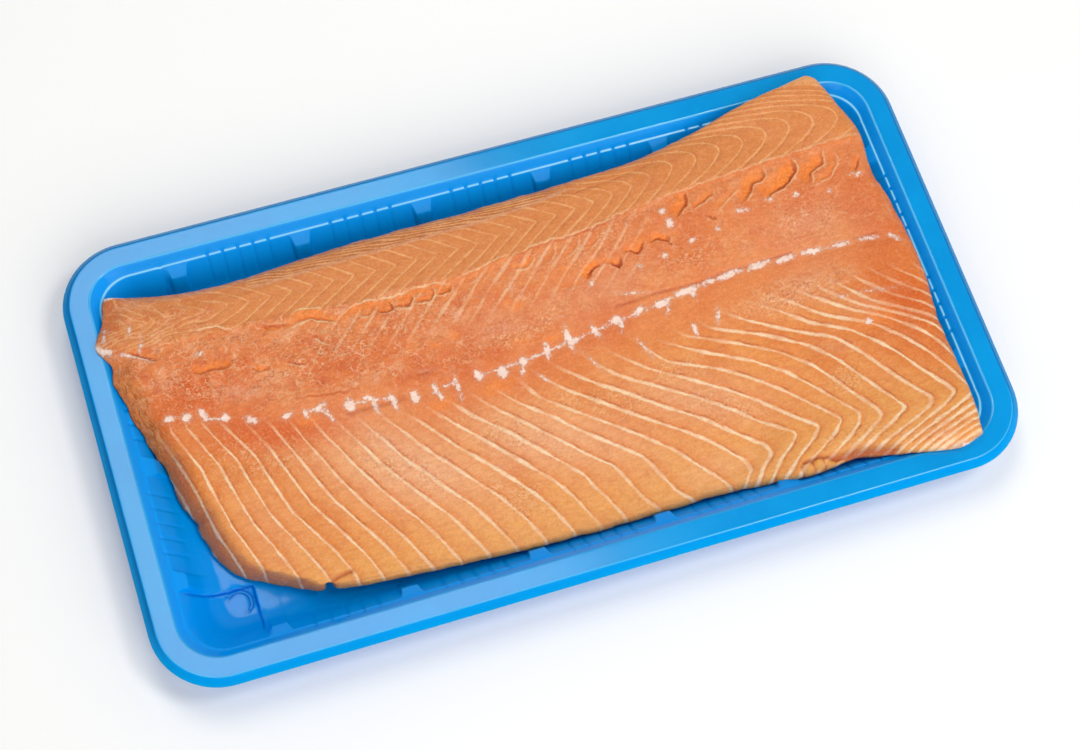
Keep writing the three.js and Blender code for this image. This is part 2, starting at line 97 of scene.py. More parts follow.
CUT_RIM = [
    (-128, -73.5, 9), (-136, -69.8, 6), (-157, -58, 5.5), (-164, -49, 5.5), (-168.3, -38, 6),
    (-170.5, -27, 7), (-175, -15.5, 8.5), (-176.5, -3.5, 11), (-180.5, 6, 14.5), (-183, 17, 17.5),
    (-186, 27.6, 21.3), (-188.6, 38, 24), (-188, 49.5, 24.3), (-192.5, 58, 26.3), (-187.2, 71.8, 24),
    (-183.5, 84, 21.8)]
CROWN = [(0, 17), (0.08, 18), (0.3, 20.5), (0.5, 23), (0.64, 26.5), (0.8, 30), (0.92, 29.5), (1, 26)]
END_THICKNESS = 6.0
EDGE_ROUNDING = 9.0
CUT_SLOPE_RUN = 12.0
UNDER_TUCK = 6.0
SPINE_HALF = 150.0
SIDE_SHARES = (0.18, 0.45, 0.75, 1.0)     # of the way down from the rim to the bottom
GAP = 0.4
COLUMNS = 390
ROWS = 205
NOTCH_X, NOTCH_DEPTH = -121.5, 5.2
FLAP_X, FLAP_REACH = -127, 1.3
FLAKE_DEPTH = 0.6
LOBE_HEIGHT = 2.2
GROOVE_DEPTH = 0.9
CENTRE_GROOVE_DEPTH = 0.5
CRAG_HEIGHT = 0.55
RIPPLE_HEIGHT = 0.25
SWELL_HEIGHT = 0.35
LOIN_RIDGE = 0.34
BACK_RIDGE = 0.2
STRIP_SEAM_SPACING = 1.7
MIDDLE_SEAM_SPACING = 6.6

# Lines along the fillet: the torn seam, the row of white marks, the chevrons' tips and the skin-side film.
TORN_SEAM = [
    (-190, 53), (-170, 51), (-152, 50), (-135, 50), (-117, 48), (-100, 47.5), (-89, 46.5), (-72, 45),
    (-58, 45.5), (-42, 46), (-29, 45), (-14, 46.2), (3, 47.8), (19, 50.3), (44, 52), (61, 55.3), (78, 57),
    (91, 59.3), (115, 60.2), (140, 61.5), (160, 62.5), (185, 62)]
CENTRE_LINE = [
    (-190, 20), (-170, 16.4), (-155, 13.7), (-146, 10), (-134, 5.5), (-118, 3), (-104, 2), (-90, 0),
    (-70, -2.5), (-50, -3), (-20, -2.2), (3, 0), (28, 3.5), (50, 7), (74, 10), (95, 12.5), (124, 13),
    (151, 12), (165, 10.6), (190, 6)]
TIP_LINE = [
    (-190, 64), (-150, 62), (-120, 60), (-90, 59.7), (-60, 59), (-12, 58.8), (17, 62), (45, 64), (65, 67),
    (87, 71.5), (110, 73.5), (147, 75.2), (190, 73)]
FILM_LINE = [
    (-135, 67.2), (-104, 67.4), (-72, 68.4), (-40, 69), (-8, 69.6), (18, 71.8), (36, 74.2), (60, 77)]
# Numbers of the chevrons along TIP_LINE.
TIP_NUMBERS = [(-190, -10), (-90.8, 0), (-12, 8), (75.6, 17), (171.9, 25), (220, 29)]
# Seams of the belly side: each key curve has its number and its x at the heights y of LOIN_LEVELS.
LOIN_LEVELS = [10, 0, -10, -20, -30, -40, -50, -60, -70, -75, -80, -86, -93, -100]
LOIN_KEYS = [
    (0, [-176, -172, -169, -166.5, -164.5, -162.5, -159, -155.5, -152, -150, -148, -146, -144, -142]),
    (1, [-170, -166, -161.8, -160, -157.7, -155.4, -151.5, -148.3, -145, -143, -141, -139, -137, -135]),
    (4, [-149, -143.5, -137.6, -134.7, -131.7, -128.6, -122.8, -116.8, -111.8, -110, -109, -107, -105, -103]),
    (7, [-122, -118, -114.3, -109.2, -105, -100, -94, -87.7, -81.8, -79.5, -77, -74, -71, -69]),
    (10, [-97, -92, -86.5, -80, -74.4, -66.5, -59.3, -51, -45.2, -42.5, -40, -37, -34, -31]),
    (12, [-78, -73, -67.5, -58.8, -51, -42, -33.3, -24.7, -17.8, -15.5, -13.2, -10.5, -8, -5]),
    (14, [-60, -53, -47, -38.5, -27, -17.8, -8.5, 0.6, 5.6, 8.2, 10.6, 13.5, 16, 19]),
    (15, [-50, -42, -36, -27, -16.5, -6.2, 3.5, 15, 20, 22, 24.5, 29.5, 35, 40]),
    (16, [-38, -31, -26, -16.5, -4.3, 5.8, 18, 29.5, 34.3, 36.4, 39, 46, 52, 58]),
    (17, [-27, -20, -13, -7, 5.5, 19, 31.5, 43, 51.4, 55.7, 60, 63.5, 64, 62]),
    (18, [-17, -10, -4, 6, 19.5, 32.5, 46, 59.5, 69, 73.8, 74.3, 69.5, 62, 55]),
    (19, [-8, -2, 7, 19, 33.2, 46, 60.5, 72, 84, 86, 80.5, 76, 69, 62]),
    (20, [6, 14, 21.5, 31, 46.5, 62, 75.5, 87, 99.8, 95, 88, 83, 76, 69]),
    (21, [17, 24, 32.8, 44.5, 60.5, 76, 89, 99.5, 110.6, 105.7, 98.3, 91, 83, 75]),
    (22, [32, 38, 46.5, 54.5, 77, 91.5, 103.5, 112.8, 121.3, 116.5, 109, 99, 90, 81]),
    (23, [42, 48, 55, 72, 92, 105.8, 114.8, 122.5, 129.8, 127.5, 120.5, 110, 99, 88]),
    (24, [52, 58, 66, 88, 106.5, 118, 124.7, 130.7, 137, 138.5, 130.5, 119, 107, 95]),
    (25, [64, 70, 79, 102.3, 119.5, 128.5, 135.2, 140.8, 147, 149.6, 140, 127, 114, 101]),
    (26, [76, 82, 95, 112.5, 131.5, 139.8, 146, 152, 159, 162.5, 156.5, 138, 122, 107]),
    (27, [88, 96, 112, 124.5, 140.5, 150, 157.7, 163.8, 171, 173.4, 165, 150, 131, 114]),
    (28, [100, 108, 122, 133.5, 150.3, 160.4, 168.4, 174.5, 179.5, 184, 176, 160, 140, 121]),
    (29, [112, 120, 132, 143.5, 158.5, 170, 177.5, 183, 188, 193, 186, 170, 149, 128]),
    (31, [130, 138, 146, 155, 170, 186, 194, 200, 204, 208, 204, 190, 168, 144]),
    (36, [175, 183, 191, 205, 220, 231, 239, 245, 250, 255, 250, 236, 214, 188])]
# Edges of parted flakes. A hollow lies on the left of each line, walked along its points: points,
# reach of the orange hollow, then strengths of the orange, the painted shade at the foot and the pale rim,
# and depth.
FLAKES = [
    ([(-179.5, 51.5), (-175, 47.7), (-166.5, 43.3)], 3, 0.5, 0.9, 0.6, 2.2),
    ([(-154.5, 34.2), (-150, 32.2), (-144, 32.8), (-139, 31.6), (-135.8, 32.6), (-135.4, 34.8)], 3.2,
     0.95, 0.6, 0.3, 2.0),
    ([(-128.4, 28), (-125, 25.8), (-121, 25.6), (-119.9, 28)], 3, 1.0, 0.5, 0.3, 2.0),
    ([(-112.8, 26.6), (-108, 24.6), (-103, 24.2)], 1.8, 0.5, 0.7, 0.5, 1.0),
    ([(-98, 35), (-94, 32.4), (-91, 29.4)], 1.4, 0.3, 0.4, 0.9, 0.7),
    ([(-107.5, 42.3), (-104, 43.4), (-98, 44.4), (-92, 42.9), (-87, 40.2), (-84.6, 38.4)], 3.4, 0.8, 0.25,
     1.0, 1.8),
    ([(-104, 43.8), (-111, 45.3), (-118.6, 47.2)], 2.4, 0.8, 0.6, 0.3, 1.5),
    ([(-89.5, 46.8), (-93, 48), (-98.5, 49), (-104.5, 48.6)], 3, 0.7, 0, 0.9, 1.0),
    ([(-30.4, 42.3), (-36.7, 44.4), (-45, 44.9), (-52.3, 43.8), (-59.6, 43.8), (-67, 44.4), (-74, 44.4),
     (-79.4, 42.8), (-84.6, 40.7)], 3, 0.85, 0.1, 0.9, 1.0),
    ([(0, 49), (-9.6, 47.3), (-18, 45.4), (-26.5, 43.8)], 2.4, 0.5, 0.2, 0.7, 0.6),
    ([(-74.5, 41), (-74, 39), (-70, 38.6), (-67, 40.5), (-66.3, 43)], 2.5, 0.6, 0.3, 0.7, 1.2),
    ([(-66, 40), (-63, 37.8), (-59.6, 37.4), (-58.4, 40), (-58.6, 43)], 3.2, 1.0, 0.75, 0.8, 2.2),
    ([(-57.8, 39), (-55, 37.9), (-51, 37.9), (-49.2, 40), (-49.4, 43)], 3.2, 1.0, 0.6, 0.8, 2.0),
    ([(-48.4, 39), (-45, 37.8), (-41, 38), (-39, 40.2), (-38.8, 42.5), (-40, 43.6)], 3, 0.9, 0.5, 0.9,
     1.8),
    ([(-38, 40), (-34, 39), (-31, 39.8), (-29.6, 42)], 2.8, 0.8, 0.5, 0.8, 1.8),
    ([(-22.5, 41.6), (-19, 42), (-17.6, 44)], 2, 0.45, 0.2, 0.5, 0.8),
    ([(0, 41.5), (6, 41), (9.4, 43.5), (10, 46)], 3, 0.7, 0.2, 0.7, 1.0),
    ([(15.6, 40.4), (20.6, 44.6), (22, 49.5)], 1.6, 0.3, 0.15, 0.6, 0.5),
    ([(24.5, 41), (31, 44), (33.5, 49.6)], 1.6, 0.3, 0.15, 0.6, 0.5),
    ([(35, 41), (42, 44.6), (45.6, 50)], 1.6, 0.3, 0.15, 0.6, 0.5),
    ([(16, 28.5), (22, 26.2), (29, 26)], 3, 0.35, 0.1, 0.2, 0.6),
    ([(32, 28), (33.6, 30.4), (36, 31.9), (39.4, 32.9)], 4.6, 1.0, 0.9, 0.3, 2.6),
    ([(39.4, 33), (42, 33.2), (44.4, 32)], 2.6, 0.8, 0.2, 0.3, 1.4),
    ([(44, 33.4), (45.2, 31.4), (47.4, 29.4), (49, 31), (49.7, 34)], 4.2, 1.0, 1.0, 0.3, 3.0),
    ([(52, 35.4), (56, 34.8), (59, 33.4), (61.2, 34.8), (62.5, 38)], 4, 0.95, 0.9, 0.3, 2.4),
    ([(64.6, 36.4), (68.5, 37.5), (72, 36.3), (73.6, 34.8), (74.8, 38.6)], 4.2, 1.0, 0.8, 0.3, 2.2),
    ([(75.4, 38.6), (77, 37.2), (78.8, 39)], 1.8, 0.9, 0.2, 0.2, 1.0),
    ([(81.2, 45.2), (83.4, 46.4), (85, 49.2), (88, 51.2), (89, 54), (89.6, 57)], 5.5, 0.9, 0.8, 0.5, 2.6),
    ([(90, 47.8), (94, 48.6), (98, 50.2), (101, 52.6), (101.6, 54.4)], 3.4, 0.7, 0.5, 0.7, 1.8),
    ([(93.8, 42.2), (96.4, 40.6), (99.2, 38.2)], 1.6, 0.6, 0.7, 0.2, 1.0),
    ([(101, 43.4), (104.5, 46.2), (109, 48.6), (113, 50.8)], 2.6, 0.35, 0.1, 0.7, 0.8),
    ([(114.5, 44.2), (118, 46.5), (121.6, 52), (126.5, 52.6), (128.6, 55.4), (128.8, 58.4)], 6, 0.85,
     0.55, 0.8, 2.4),
    ([(125, 42.5), (129, 44.6), (134.8, 46.6), (138.5, 48.6), (140.8, 50.6), (144, 53), (144.8, 56.4),
     (143.4, 59.8)], 8, 1.0, 0.85, 0.9, 3.0),
    ([(148.6, 45.4), (150.6, 50), (155, 52.4), (157.6, 53.6), (158.6, 56), (158.4, 59.6)], 6.5, 0.85, 0.6,
     0.8, 2.4),
    ([(150, 44.4), (158, 46), (163.8, 51), (164.2, 57.6)], 3.4, 0.5, 0.1, 0.7, 1.0),
    ([(171.2, 44.8), (173.4, 47.6), (176, 52)], 3.4, 0.7, 0.7, 0.2, 2.2),
    ([(62.5, 56.1), (54, 54), (45, 51.9), (32, 50.4), (24, 50.4), (12, 49.9), (6, 48.8), (0, 47.3)], 1.6,
     0.25, 0.4, 0.8, 0.35),
    ([(190, 63), (170, 63), (150, 62), (130, 61), (110, 59.5), (90, 58), (78, 56.8), (68, 55.6)], 2, 0.25,
     0.1, 0.5, 0.2),
    ([(-131.5, 47), (-133.6, 49), (-138.8, 51.7), (-144, 52.5), (-148, 52.2)], 2.4, 0.2, 0.15, 0.9, 0.7),
    ([(-84, 7), (-92, 7.2), (-104, 9), (-114, 10.4)], 1.6, 0.4, 0.5, 0.1, 0.4)]
# Small orange spots: x, y, half length, half width.
SPOTS = [
    (-56, 18.3, 2.4, 2), (-35.8, 18.8, 3, 2), (-46, 17, 2.4, 1.6), (-4, 23.8, 2.6, 2), (-8, 27, 2, 1.5),
    (-7, 7.4, 3.4, 1.6), (7, 5.6, 4.6, 2), (13.5, 7, 3, 1.4), (-51, -10.5, 6, 3.4), (-24, -9.5, 9, 3.2),
    (60, 39.5, 4, 2), (22, 35, 3, 2), (152, -28, 10, 5), (-111, -1, 5, 3)]
# Creases, with painted shade along them: points, half width and depth.
CREASES = [
    ([(110, -87.2), (117, -87.6), (124, -88.2), (130, -89.6), (138, -92.2)], 2.0, 3.6),
    ([(97, -85.4), (104, -84.8), (111, -86.2)], 0.9, 1.8),
    ([(95.4, -86), (95.8, -92)], 0.5, 1.4),
    ([(100.8, -85.6), (101, -92)], 0.5, 1.4),
    ([(106, -85.8), (106.2, -92)], 0.5, 1.4),
    ([(111.2, -87), (111.4, -92)], 0.5, 1.4),
    ([(-126, -79), (-121.5, -76), (-118, -74.2), (-111, -73.2)], 0.8, 1.4),
    ([(40, 11.8), (60, 13), (82, 12.6), (92, 14.2), (109, 14.2), (118, 15), (128, 15)], 0.55, 0.7),
    ([(158, 13), (170, 12.4)], 0.5, 0.5),
    ([(-92, -3.5), (-84, -3.2), (-74, -3.5), (-66, -3.2)], 1.2, 0.3),
    ([(-57, 5.6), (-50, 4.9)], 0.5, 0.5),
    ([(40, 71.8), (52, 72.4), (62, 73.4), (72, 75.2), (80, 77)], 0.35, 0.4)]
# White marks along the centre line and small pale flecks: x, y, half length, half width, turn.
MARKS = [
    (-169.5, 16.2, 2.2, 1.6, 0), (-162, 14.5, 2, 2.2, 60), (-154.5, 13.8, 1.4, 3.2, 25),
    (-145.7, 9.8, 2, 1.8, 0), (-134.5, 5.6, 2.6, 1.4, -38), (-118.3, 3.2, 2.2, 1.2, 16),
    (-110.5, 2, 1.2, 2, 0), (-104, 2.8, 2.6, 0.9, 24), (-101, -1, 0.8, 3.2, 20),
    (-90.4, 0.3, 2.4, 2.7, 20), (-82, 1.2, 1.8, 1, -20), (-79.3, -3, 0.9, 3.2, 8),
    (-70.8, -3.8, 1.2, 3.4, 6), (-61, -3.8, 2, 2.8, 0), (-51.4, -2.2, 1.3, 2.1, 0),
    (-49.7, -6.6, 0.9, 1.7, 12), (-41, -4.8, 0.8, 4, 0), (-30.4, -2.2, 1.9, 2.6, 30),
    (-19.6, -3.6, 2.5, 2.8, 0), (-9, -1.6, 2, 2.2, 30), (-10.4, -5, 0.8, 2.4, -20), (3, 0.4, 1.3, 3, 0),
    (14.6, 3, 1.7, 5, 8), (17, 1.4, 2, 1, 20), (27.6, 3, 1.1, 3.2, 20), (38.3, 5.6, 2.6, 1.8, 0),
    (40, 3, 0.9, 2.4, -20), (49.7, 7, 3, 1.7, 20), (61, 7.4, 3.6, 1.7, 0), (63, 4.6, 0.8, 2.2, -20),
    (74, 10.2, 5.8, 1.5, 6), (76.5, 8, 1, 2, 10), (86, 11.8, 3.4, 1.2, 10), (95.2, 12.6, 6.4, 1.4, 6),
    (110, 13.2, 5.4, 1.5, 6), (124.4, 13.1, 4.6, 1.4, 6), (137.4, 13, 4.6, 1.3, -6),
    (150.9, 12, 4.2, 1.2, -4), (164.8, 10.7, 3.6, 1, -12), (176.5, 7.8, 2.8, 1, -40),
    (112, 40.8, 2.6, 0.8, -10), (126.4, 42.6, 1.6, 0.8, -5), (139, 41.4, 1.3, 1, 20),
    (155.4, 39, 1, 1, 0), (84.6, 32.8, 1.6, 0.7, 20), (98, 35.2, 0.7, 1.1, 0), (32.7, 25.5, 1, 1, 0),
    (69.6, 29.4, 1, 1.2, 0), (57, 27, 0.8, 1, 0), (49.5, 16, 3.4, 0.4, -14), (171, 43.6, 2.6, 0.8, -8),
    (158, -15.2, 3.6, 0.35, -12), (142, -12.6, 2.2, 0.6, -14), (71.8, -8.8, 0.9, 2.2, -6),
    (84.2, -5.5, 0.7, 2.6, -18), (46.8, -11, 0.5, 3, 24), (22.4, -11.4, 0.4, 2.6, 26),
    (-2.2, -11.8, 0.5, 1.8, 40), (149.6, -29, 1.6, 1.6, 0), (-148.6, 41.4, 1.4, 0.8, 0),
    (-176.5, 60.5, 0.5, 1.6, -20), (-173, 52.5, 0.4, 2, -20), (77, 44, 1.6, 2.2, -20),
    (75.4, 50.5, 1.4, 1.4, 0)]
# White strokes: points and half width.
STROKES = [
    ([(-30, -2.4), (-20, -2), (-9, -1.4), (3, 0), (14, 1.6), (28, 3.6), (38, 5), (50, 6.6), (61, 7.8)],
     0.35),
    ([(61, 8.4), (74, 10.2), (84, 11.4), (95, 12.6), (102, 12.8)], 0.5),
    ([(-88, 0.4), (-80, 0.2), (-72, -1.6)], 0.3),
    ([(-154, 11.4), (-148, 10)], 0.3),
    ([(-110.5, 2), (-105, 3), (-101, 0)], 0.5),
    ([(-47, -2.8), (-41, -2.4)], 0.3),
    ([(-184, 83.4), (-180, 82.8), (-175.5, 81.4)], 0.8),
    ([(-192.4, 58.5), (-190, 55.4), (-187, 53.8)], 1.1),
    ([(-182, 51.6), (-176, 47.6), (-170, 44.4)], 0.4),
    ([(163, -99.2), (172, -99.8), (179, -96.8)], 0.4),
    ([(-188.4, 60), (-187, 66)], 0.5)]
# Whitish films of membrane, and on the lower loin pale patches of painted wet sheen: x, y, half length, half
# width, turn, strength.
FILMS_AND_SHEEN = [
    (-137, 19.5, 8, 3.6, -10, 0.5), (-13, 15.5, 8, 2, -10, 0.4), (-32, 27.5, 2.6, 1.6, 0, 0.4),
    (10, 14, 5, 1.4, 0, 0.35), (-168, 32, 5, 4, 0, 0.25), (142, 28, 9, 6, 0, 0.2),
    (-78, 9, 6, 3, 0, 0.25), (-53, 6.6, 5, 1, -8, 0.4), (-3.5, 33, 1.8, 2, 0, 0.5),
    (-68, 12, 4, 2, 0, 0.2), (150, -21, 8, 5, -30, 0.3), (-58, -42, 7, 5, -50, 0.2),
    (-34, -47, 4, 2, -50, 0.4), (-80, -20, 12, 4, -50, 0.35), (-64, -40, 10, 3, -50, 0.35),
    (131, -36, 8, 3, -20, 0.25), (-138, 72.6, 14, 2, 0, 0.4), (74, 55.6, 12, 0.5, 14, 0.4),
    (150, -88, 9, 1, -10, 0.4), (160, -93, 5, 1.6, -14, 0.5), (-181, 84.4, 3.4, 1.4, -6, 1.0),
    (-191.5, 57, 4, 3.4, 0, 0.75), (-181, 50.6, 3, 0.8, -30, 0.8), (173, -99.6, 8, 1.2, 4, 0.6),
    (-170, 73, 8, 3, -10, 0.3), (132, 2, 14, 6, 0, 0.22)]
# Patches of fine pale grain with painted wet sparkle: x, y, half length, half width, turn.
GRAIN_SPARKLE_PATCHES = [
    (-75, -33, 26, 12, -40), (-25, -32, 24, 10, -30), (-30, -60, 16, 8, -40), (20, -30, 26, 8, -20),
    (70, -48, 22, 8, -25), (118, -5, 26, 7, 5), (-135, -12, 26, 10, -10), (-5, 14, 26, 6, 5),
    (-100, 30, 30, 10, 0), (-160, 26, 16, 12, 0), (60, -24, 18, 6, 0), (142, 28, 16, 10, 0),
    (45, 45, 22, 6, 20), (124, -80, 18, 5, -10), (130, -52, 8, 8, 0), (84, 24, 20, 6, 0),
    (-50, 30, 20, 8, 0)]
# Where the seams hardly show, and broad zones of colour, the pale ones paler flesh lightened further by a
# painted wet sheen: as for the films.
PLAIN = [(168, -18, 16, 12, -20, 0.75), (60, -4, 60, 10, 8, 0.6)]
PALE_SHEEN_PATCHES = [
    (-75, -35, 45, 20, -30, 1.0), (-10, -40, 50, 17, -20, 0.9), (60, -40, 34, 14, -20, 0.7),
    (-15, 20, 30, 9, 0, 0.35), (35, 22, 26, 12, 10, 0.45), (140, 24, 34, 14, 0, 0.4),
    (60, -74, 20, 8, 0, 0.45), (-118, 18, 14, 8, 0, 0.3), (-140, -45, 14, 24, 20, 0.3),
    (30, 66, 40, 8, 4, 0.3), (118, -6, 28, 9, 5, 0.35)]
RICHER = [
    (170, -25, 20, 24, 0, 1.0), (-152, 27, 20, 14, 0, 0.9), (-125, -3, 30, 7, -12, 1.0),
    (172, -55, 12, 16, 0, 0.5), (170, 30, 14, 20, 0, 0.3), (-75, 22, 24, 8, 0, 0.4),
    (-45, -11, 16, 5, 0, 0.4), (160, 76, 24, 16, 10, 0.6), (165, -90, 14, 8, 0, 0.3)]
# Lumps of the curled belly edge: x, y, half length, half width, turn, height.
LOBES = [
    (93, -89, 2.4, 2, 0, 0.5), (98, -89, 2.6, 2.6, 0, 0.8), (103.5, -88.4, 2.4, 2.8, 10, 1.0),
    (108.6, -88.8, 2.6, 2.4, 0, 0.9), (114, -89.6, 2.8, 1.5, 0, 0.6)]

# ---- Colours, lights and camera ----
def srgb(red, green, blue):
    def linear(value):
        value /= 255
        return value / 12.92 if value <= 0.04045 else ((value + 0.055) / 1.055) ** 2.4
    return linear(red), linear(green), linear(blue)


MIDDLE = (srgb(221, 112, 50), srgb(230, 134, 70))
LOIN = (srgb(228, 134, 60), srgb(236, 152, 78))
BELLY = srgb(236, 162, 84)
PALE_SHEEN = srgb(245, 184, 138)
RICH = srgb(216, 90, 12)
BACK = srgb(222, 137, 72)
TORN = srgb(235, 142, 82)
RED_PATCH = srgb(206, 92, 48)
BAND_DEEP = srgb(226, 122, 48)
SEAM = srgb(254, 222, 180)
BACK_SEAM = srgb(244, 182, 120)
THREAD = srgb(176, 84, 38)
PALE_VEIN = srgb(246, 184, 138)
BLOTCH_PALE = srgb(242, 170, 122)
HOLLOW = srgb(252, 138, 40)
RIM = srgb(252, 214, 164)
CREVICE_SHADE = srgb(170, 46, 8)
STRIP = srgb(150, 80, 44)
LOBE = srgb(236, 170, 84)
FILM_AND_SHEEN = srgb(238, 190, 164)
CUT = (srgb(158, 88, 40), srgb(222, 150, 90))
WHITE = srgb(255, 232, 218)
PALE_GRAIN_SPARKLE = srgb(254, 216, 176)
PLASTIC = (srgb(0, 150, 220), srgb(0, 157, 227))
PLASTIC_INSIDE_BRIGHTENED = srgb(0, 152, 246)
PLASTIC_LEDGE_HIGHLIGHT = srgb(150, 222, 255)
PLASTIC_BRIM_HIGHLIGHT = srgb(90, 200, 255)
PLASTIC_STEP_SHADE = srgb(0, 80, 190)
PLASTIC_SKIRT_SHADE = srgb(0, 108, 172)
PLASTIC_SKIRT = srgb(0, 150, 228)
FLOOR = (srgb(254, 254, 252), srgb(255, 255, 254))

ROOM_LIGHT = 0.6
CEILING_LIGHT = 0.1
ROOM_COLOUR = (1, 0.995, 0.985, 1)
# Area lights: name, place, target and size in metres, power in watts.
LIGHTS = [
    ("softbox", (-0.05, 0.60, 1.5), (-0.05, 0.60, 0), (0.6, 0.9), 6.8),
    ("key", (0.55, -0.3, 1.5), (0, 0, 0), (0.4, 0.4), 6.0),
    ("fill", (0.2, -1.6, 1.3), (0, 0, 0), (2.6, 1.6), 23)]
CAMERA_PLACE = (-0.174318, -0.391488, 0.988299)
CAMERA_FORWARD = (0.162239, 0.362739, -0.91766)
CAMERA_RIGHT = (0.950841, -0.306074, 0.047118)
FOCAL_LENGTH = 77.07


# ---- Shared helpers ----
def smooth(value, low, high):
    t = np.clip((value - low) / (high - low), 0, 1)
    return t * t * (3 - 2 * t)


def bell(value):
    return np.exp(-value ** 2)


def lerp(a, b, t):
    return a + (b - a) * t


def table(pairs, at):
    xs, ys = zip(*pairs)
    return np.interp(at, xs, ys)


def noise(x, y, seed=0):
    """Repeatable smooth noise in -1..1 from whole-number cells."""
    i, j = np.floor(x), np.floor(y)

    def cell(a, b):
        wave = np.sin(a * 127.1 + b * 311.7 + seed * 74.7) * 43758.5453
        return 2 * (wave - np.floor(wave)) - 1

    u, v = smooth(x - i, 0, 1), smooth(y - j, 0, 1)
    return lerp(lerp(cell(i, j), cell(i + 1, j), u), lerp(cell(i, j + 1), cell(i + 1, j + 1), u), v)


def fractal(x, y, seed=0, octaves=3):
    total = sum(noise(x * 2 ** k, y * 2 ** k, seed + k) / 2 ** k for k in range(octaves))
    return total / (2 - 2 ** (1 - octaves))


def write_mesh(name, points, faces, fields=()):
    """A smooth-shaded object at the origin from points in millimetres, with point attributes."""
    mesh = bpy.data.meshes.new(name)
    mesh.from_pydata([tuple(p) for p in np.asarray(points) * MM], [], faces)
    for field, values in dict(fields).items():
        attribute = mesh.attributes.new(field, "FLOAT", "POINT")
        attribute.data.foreach_set("value", np.asarray(values, np.float32))
    mesh.shade_smooth()
    made = bpy.data.objects.new(name, mesh)
    bpy.context.collection.objects.link(made)
    return made


def fill_ring(ring, extra):
    """Triangles inside a ring of plan points, through extra points too.

    Returns the vertices, the triangles and each vertex's place in the ring, past its end for the rest.
    """
    count = len(ring)
    coords = [Vector(p) for p in list(map(tuple, ring)) + extra]
    verts, _, faces, origins, _, _ = delaunay_2d_cdt(coords, [], [list(range(count))], 1, 1e-4)
    return np.array([v[:] for v in verts]), faces, [min(origin, default=count) for origin in origins]


def join_ring(places, count, first, total):
    """Numbers of a filled ring's vertices in a mesh where the ring starts at `first`, and the ones to add."""
    numbers, added = [], []
    for k, place in enumerate(places):
        if place < count:
            numbers.append(first + place)
        else:
            numbers.append(total + len(added))
            added.append(k)
    return numbers, added


# ---- Tray ----
def wall_inset(z):
    return LEDGE_INSET + (LEDGE_Z - z) * math.tan(DRAFT)


def wall_profile(floor_z, radius):
    """Points (inset, z) of the upper surface, from the skirt's edge to the middle of the floor."""
    points = [
        (-3, TRAY_HEIGHT - 3.6), (-0.1, TRAY_HEIGHT - 0.12), (0.3, TRAY_HEIGHT), (9.3, TRAY_HEIGHT),
        (9.7, TRAY_HEIGHT - 0.25), (13.1, LEDGE_Z + 0.12), (13.95, LEDGE_Z)]
    centre = wall_inset(floor_z) + radius * math.tan((math.pi / 2 - DRAFT) / 2)
    for angle in np.linspace(DRAFT, math.pi / 2, 14):
        points.append((centre - radius * math.cos(angle), floor_z + radius - radius * math.sin(angle)))
    points.append((200, floor_z))
    return points


MAIN_PROFILE = wall_profile(MAIN_FLOOR_Z, FLOOR_FILLET)
FOOT_PROFILE = wall_profile(FOOT_FLOOR_Z, FOOT_FILLET)
LUG_PROFILE = [
    (13.9, LEDGE_Z), (LUG_LOW_INSET, 16.8), (23.2, 8.4), (26, 5.0), (29.5, 3.1), (34, MAIN_FLOOR_Z)]


def rounded(profile, inset, reach=0.32):
    """Height of a profile with its corners rounded off."""
    return (table(profile, inset - reach) + 2 * table(profile, inset) + table(profile, inset + reach)) / 4


def nearest(along, places):
    return np.min([np.abs(along - place) for place in places], axis=0)


def foot_share(x, y):
    at_foot = smooth((np.abs(x) - FOOT_EDGE[0]) / FOOT_STEP_RUN[0], 0, 1)
    return at_foot * smooth((np.abs(y) - FOOT_EDGE[1]) / FOOT_STEP_RUN[1], 0, 1)


def tray_height(inset, x, y, along, is_long):
    """Height of the tray's upper surface, with its lugs, flutes, ledge breaks and feet."""
    z = lerp(rounded(MAIN_PROFILE, inset), rounded(FOOT_PROFILE, inset), foot_share(x, y))
    to_lug = np.full(along.shape, 99.0)
    to_flute = np.full(along.shape, 99.0)
    sides = (is_long, LONG_LUGS, LONG_FLUTES), (~is_long, SHORT_LUGS, SHORT_FLUTES)
    for (here, lugs, flutes), gap in zip(sides, LEDGE_BREAKS):
        to_lug[here] = nearest(along[here], lugs)
        to_flute[here] = nearest(along[here], flutes)
        at_ledge = smooth(inset[here], 12.6, 13.2) * (1 - smooth(inset[here], 14.2, 15.5))
        at_gap = 1 - smooth(np.abs(np.abs(along[here]) - gap), 0.1, 0.8)
        z[here] -= LEDGE_BREAK_DEPTH * at_ledge * at_gap
    down = np.clip((inset - LEDGE_INSET) / (LUG_LOW_INSET - LEDGE_INSET), 0, 1)
    half = lerp(*LUG_HALF_WIDTHS, down)
    on_wall = inset > LEDGE_INSET
    lug = np.maximum(z, rounded(LUG_PROFILE, inset, 0.25) * on_wall)
    z = lerp(z, lug, (1 - smooth(to_lug, half - 0.1, half + 0.75)) * on_wall)
    groove = 0.5 + 0.5 * np.cos(np.pi * np.clip(to_flute / FLUTE_HALF_WIDTH, 0, 1))
    return z - FLUTE_DEPTH * groove * smooth(inset, 12.4, 13.3) * (1 - smooth(inset, 19.5, 25))


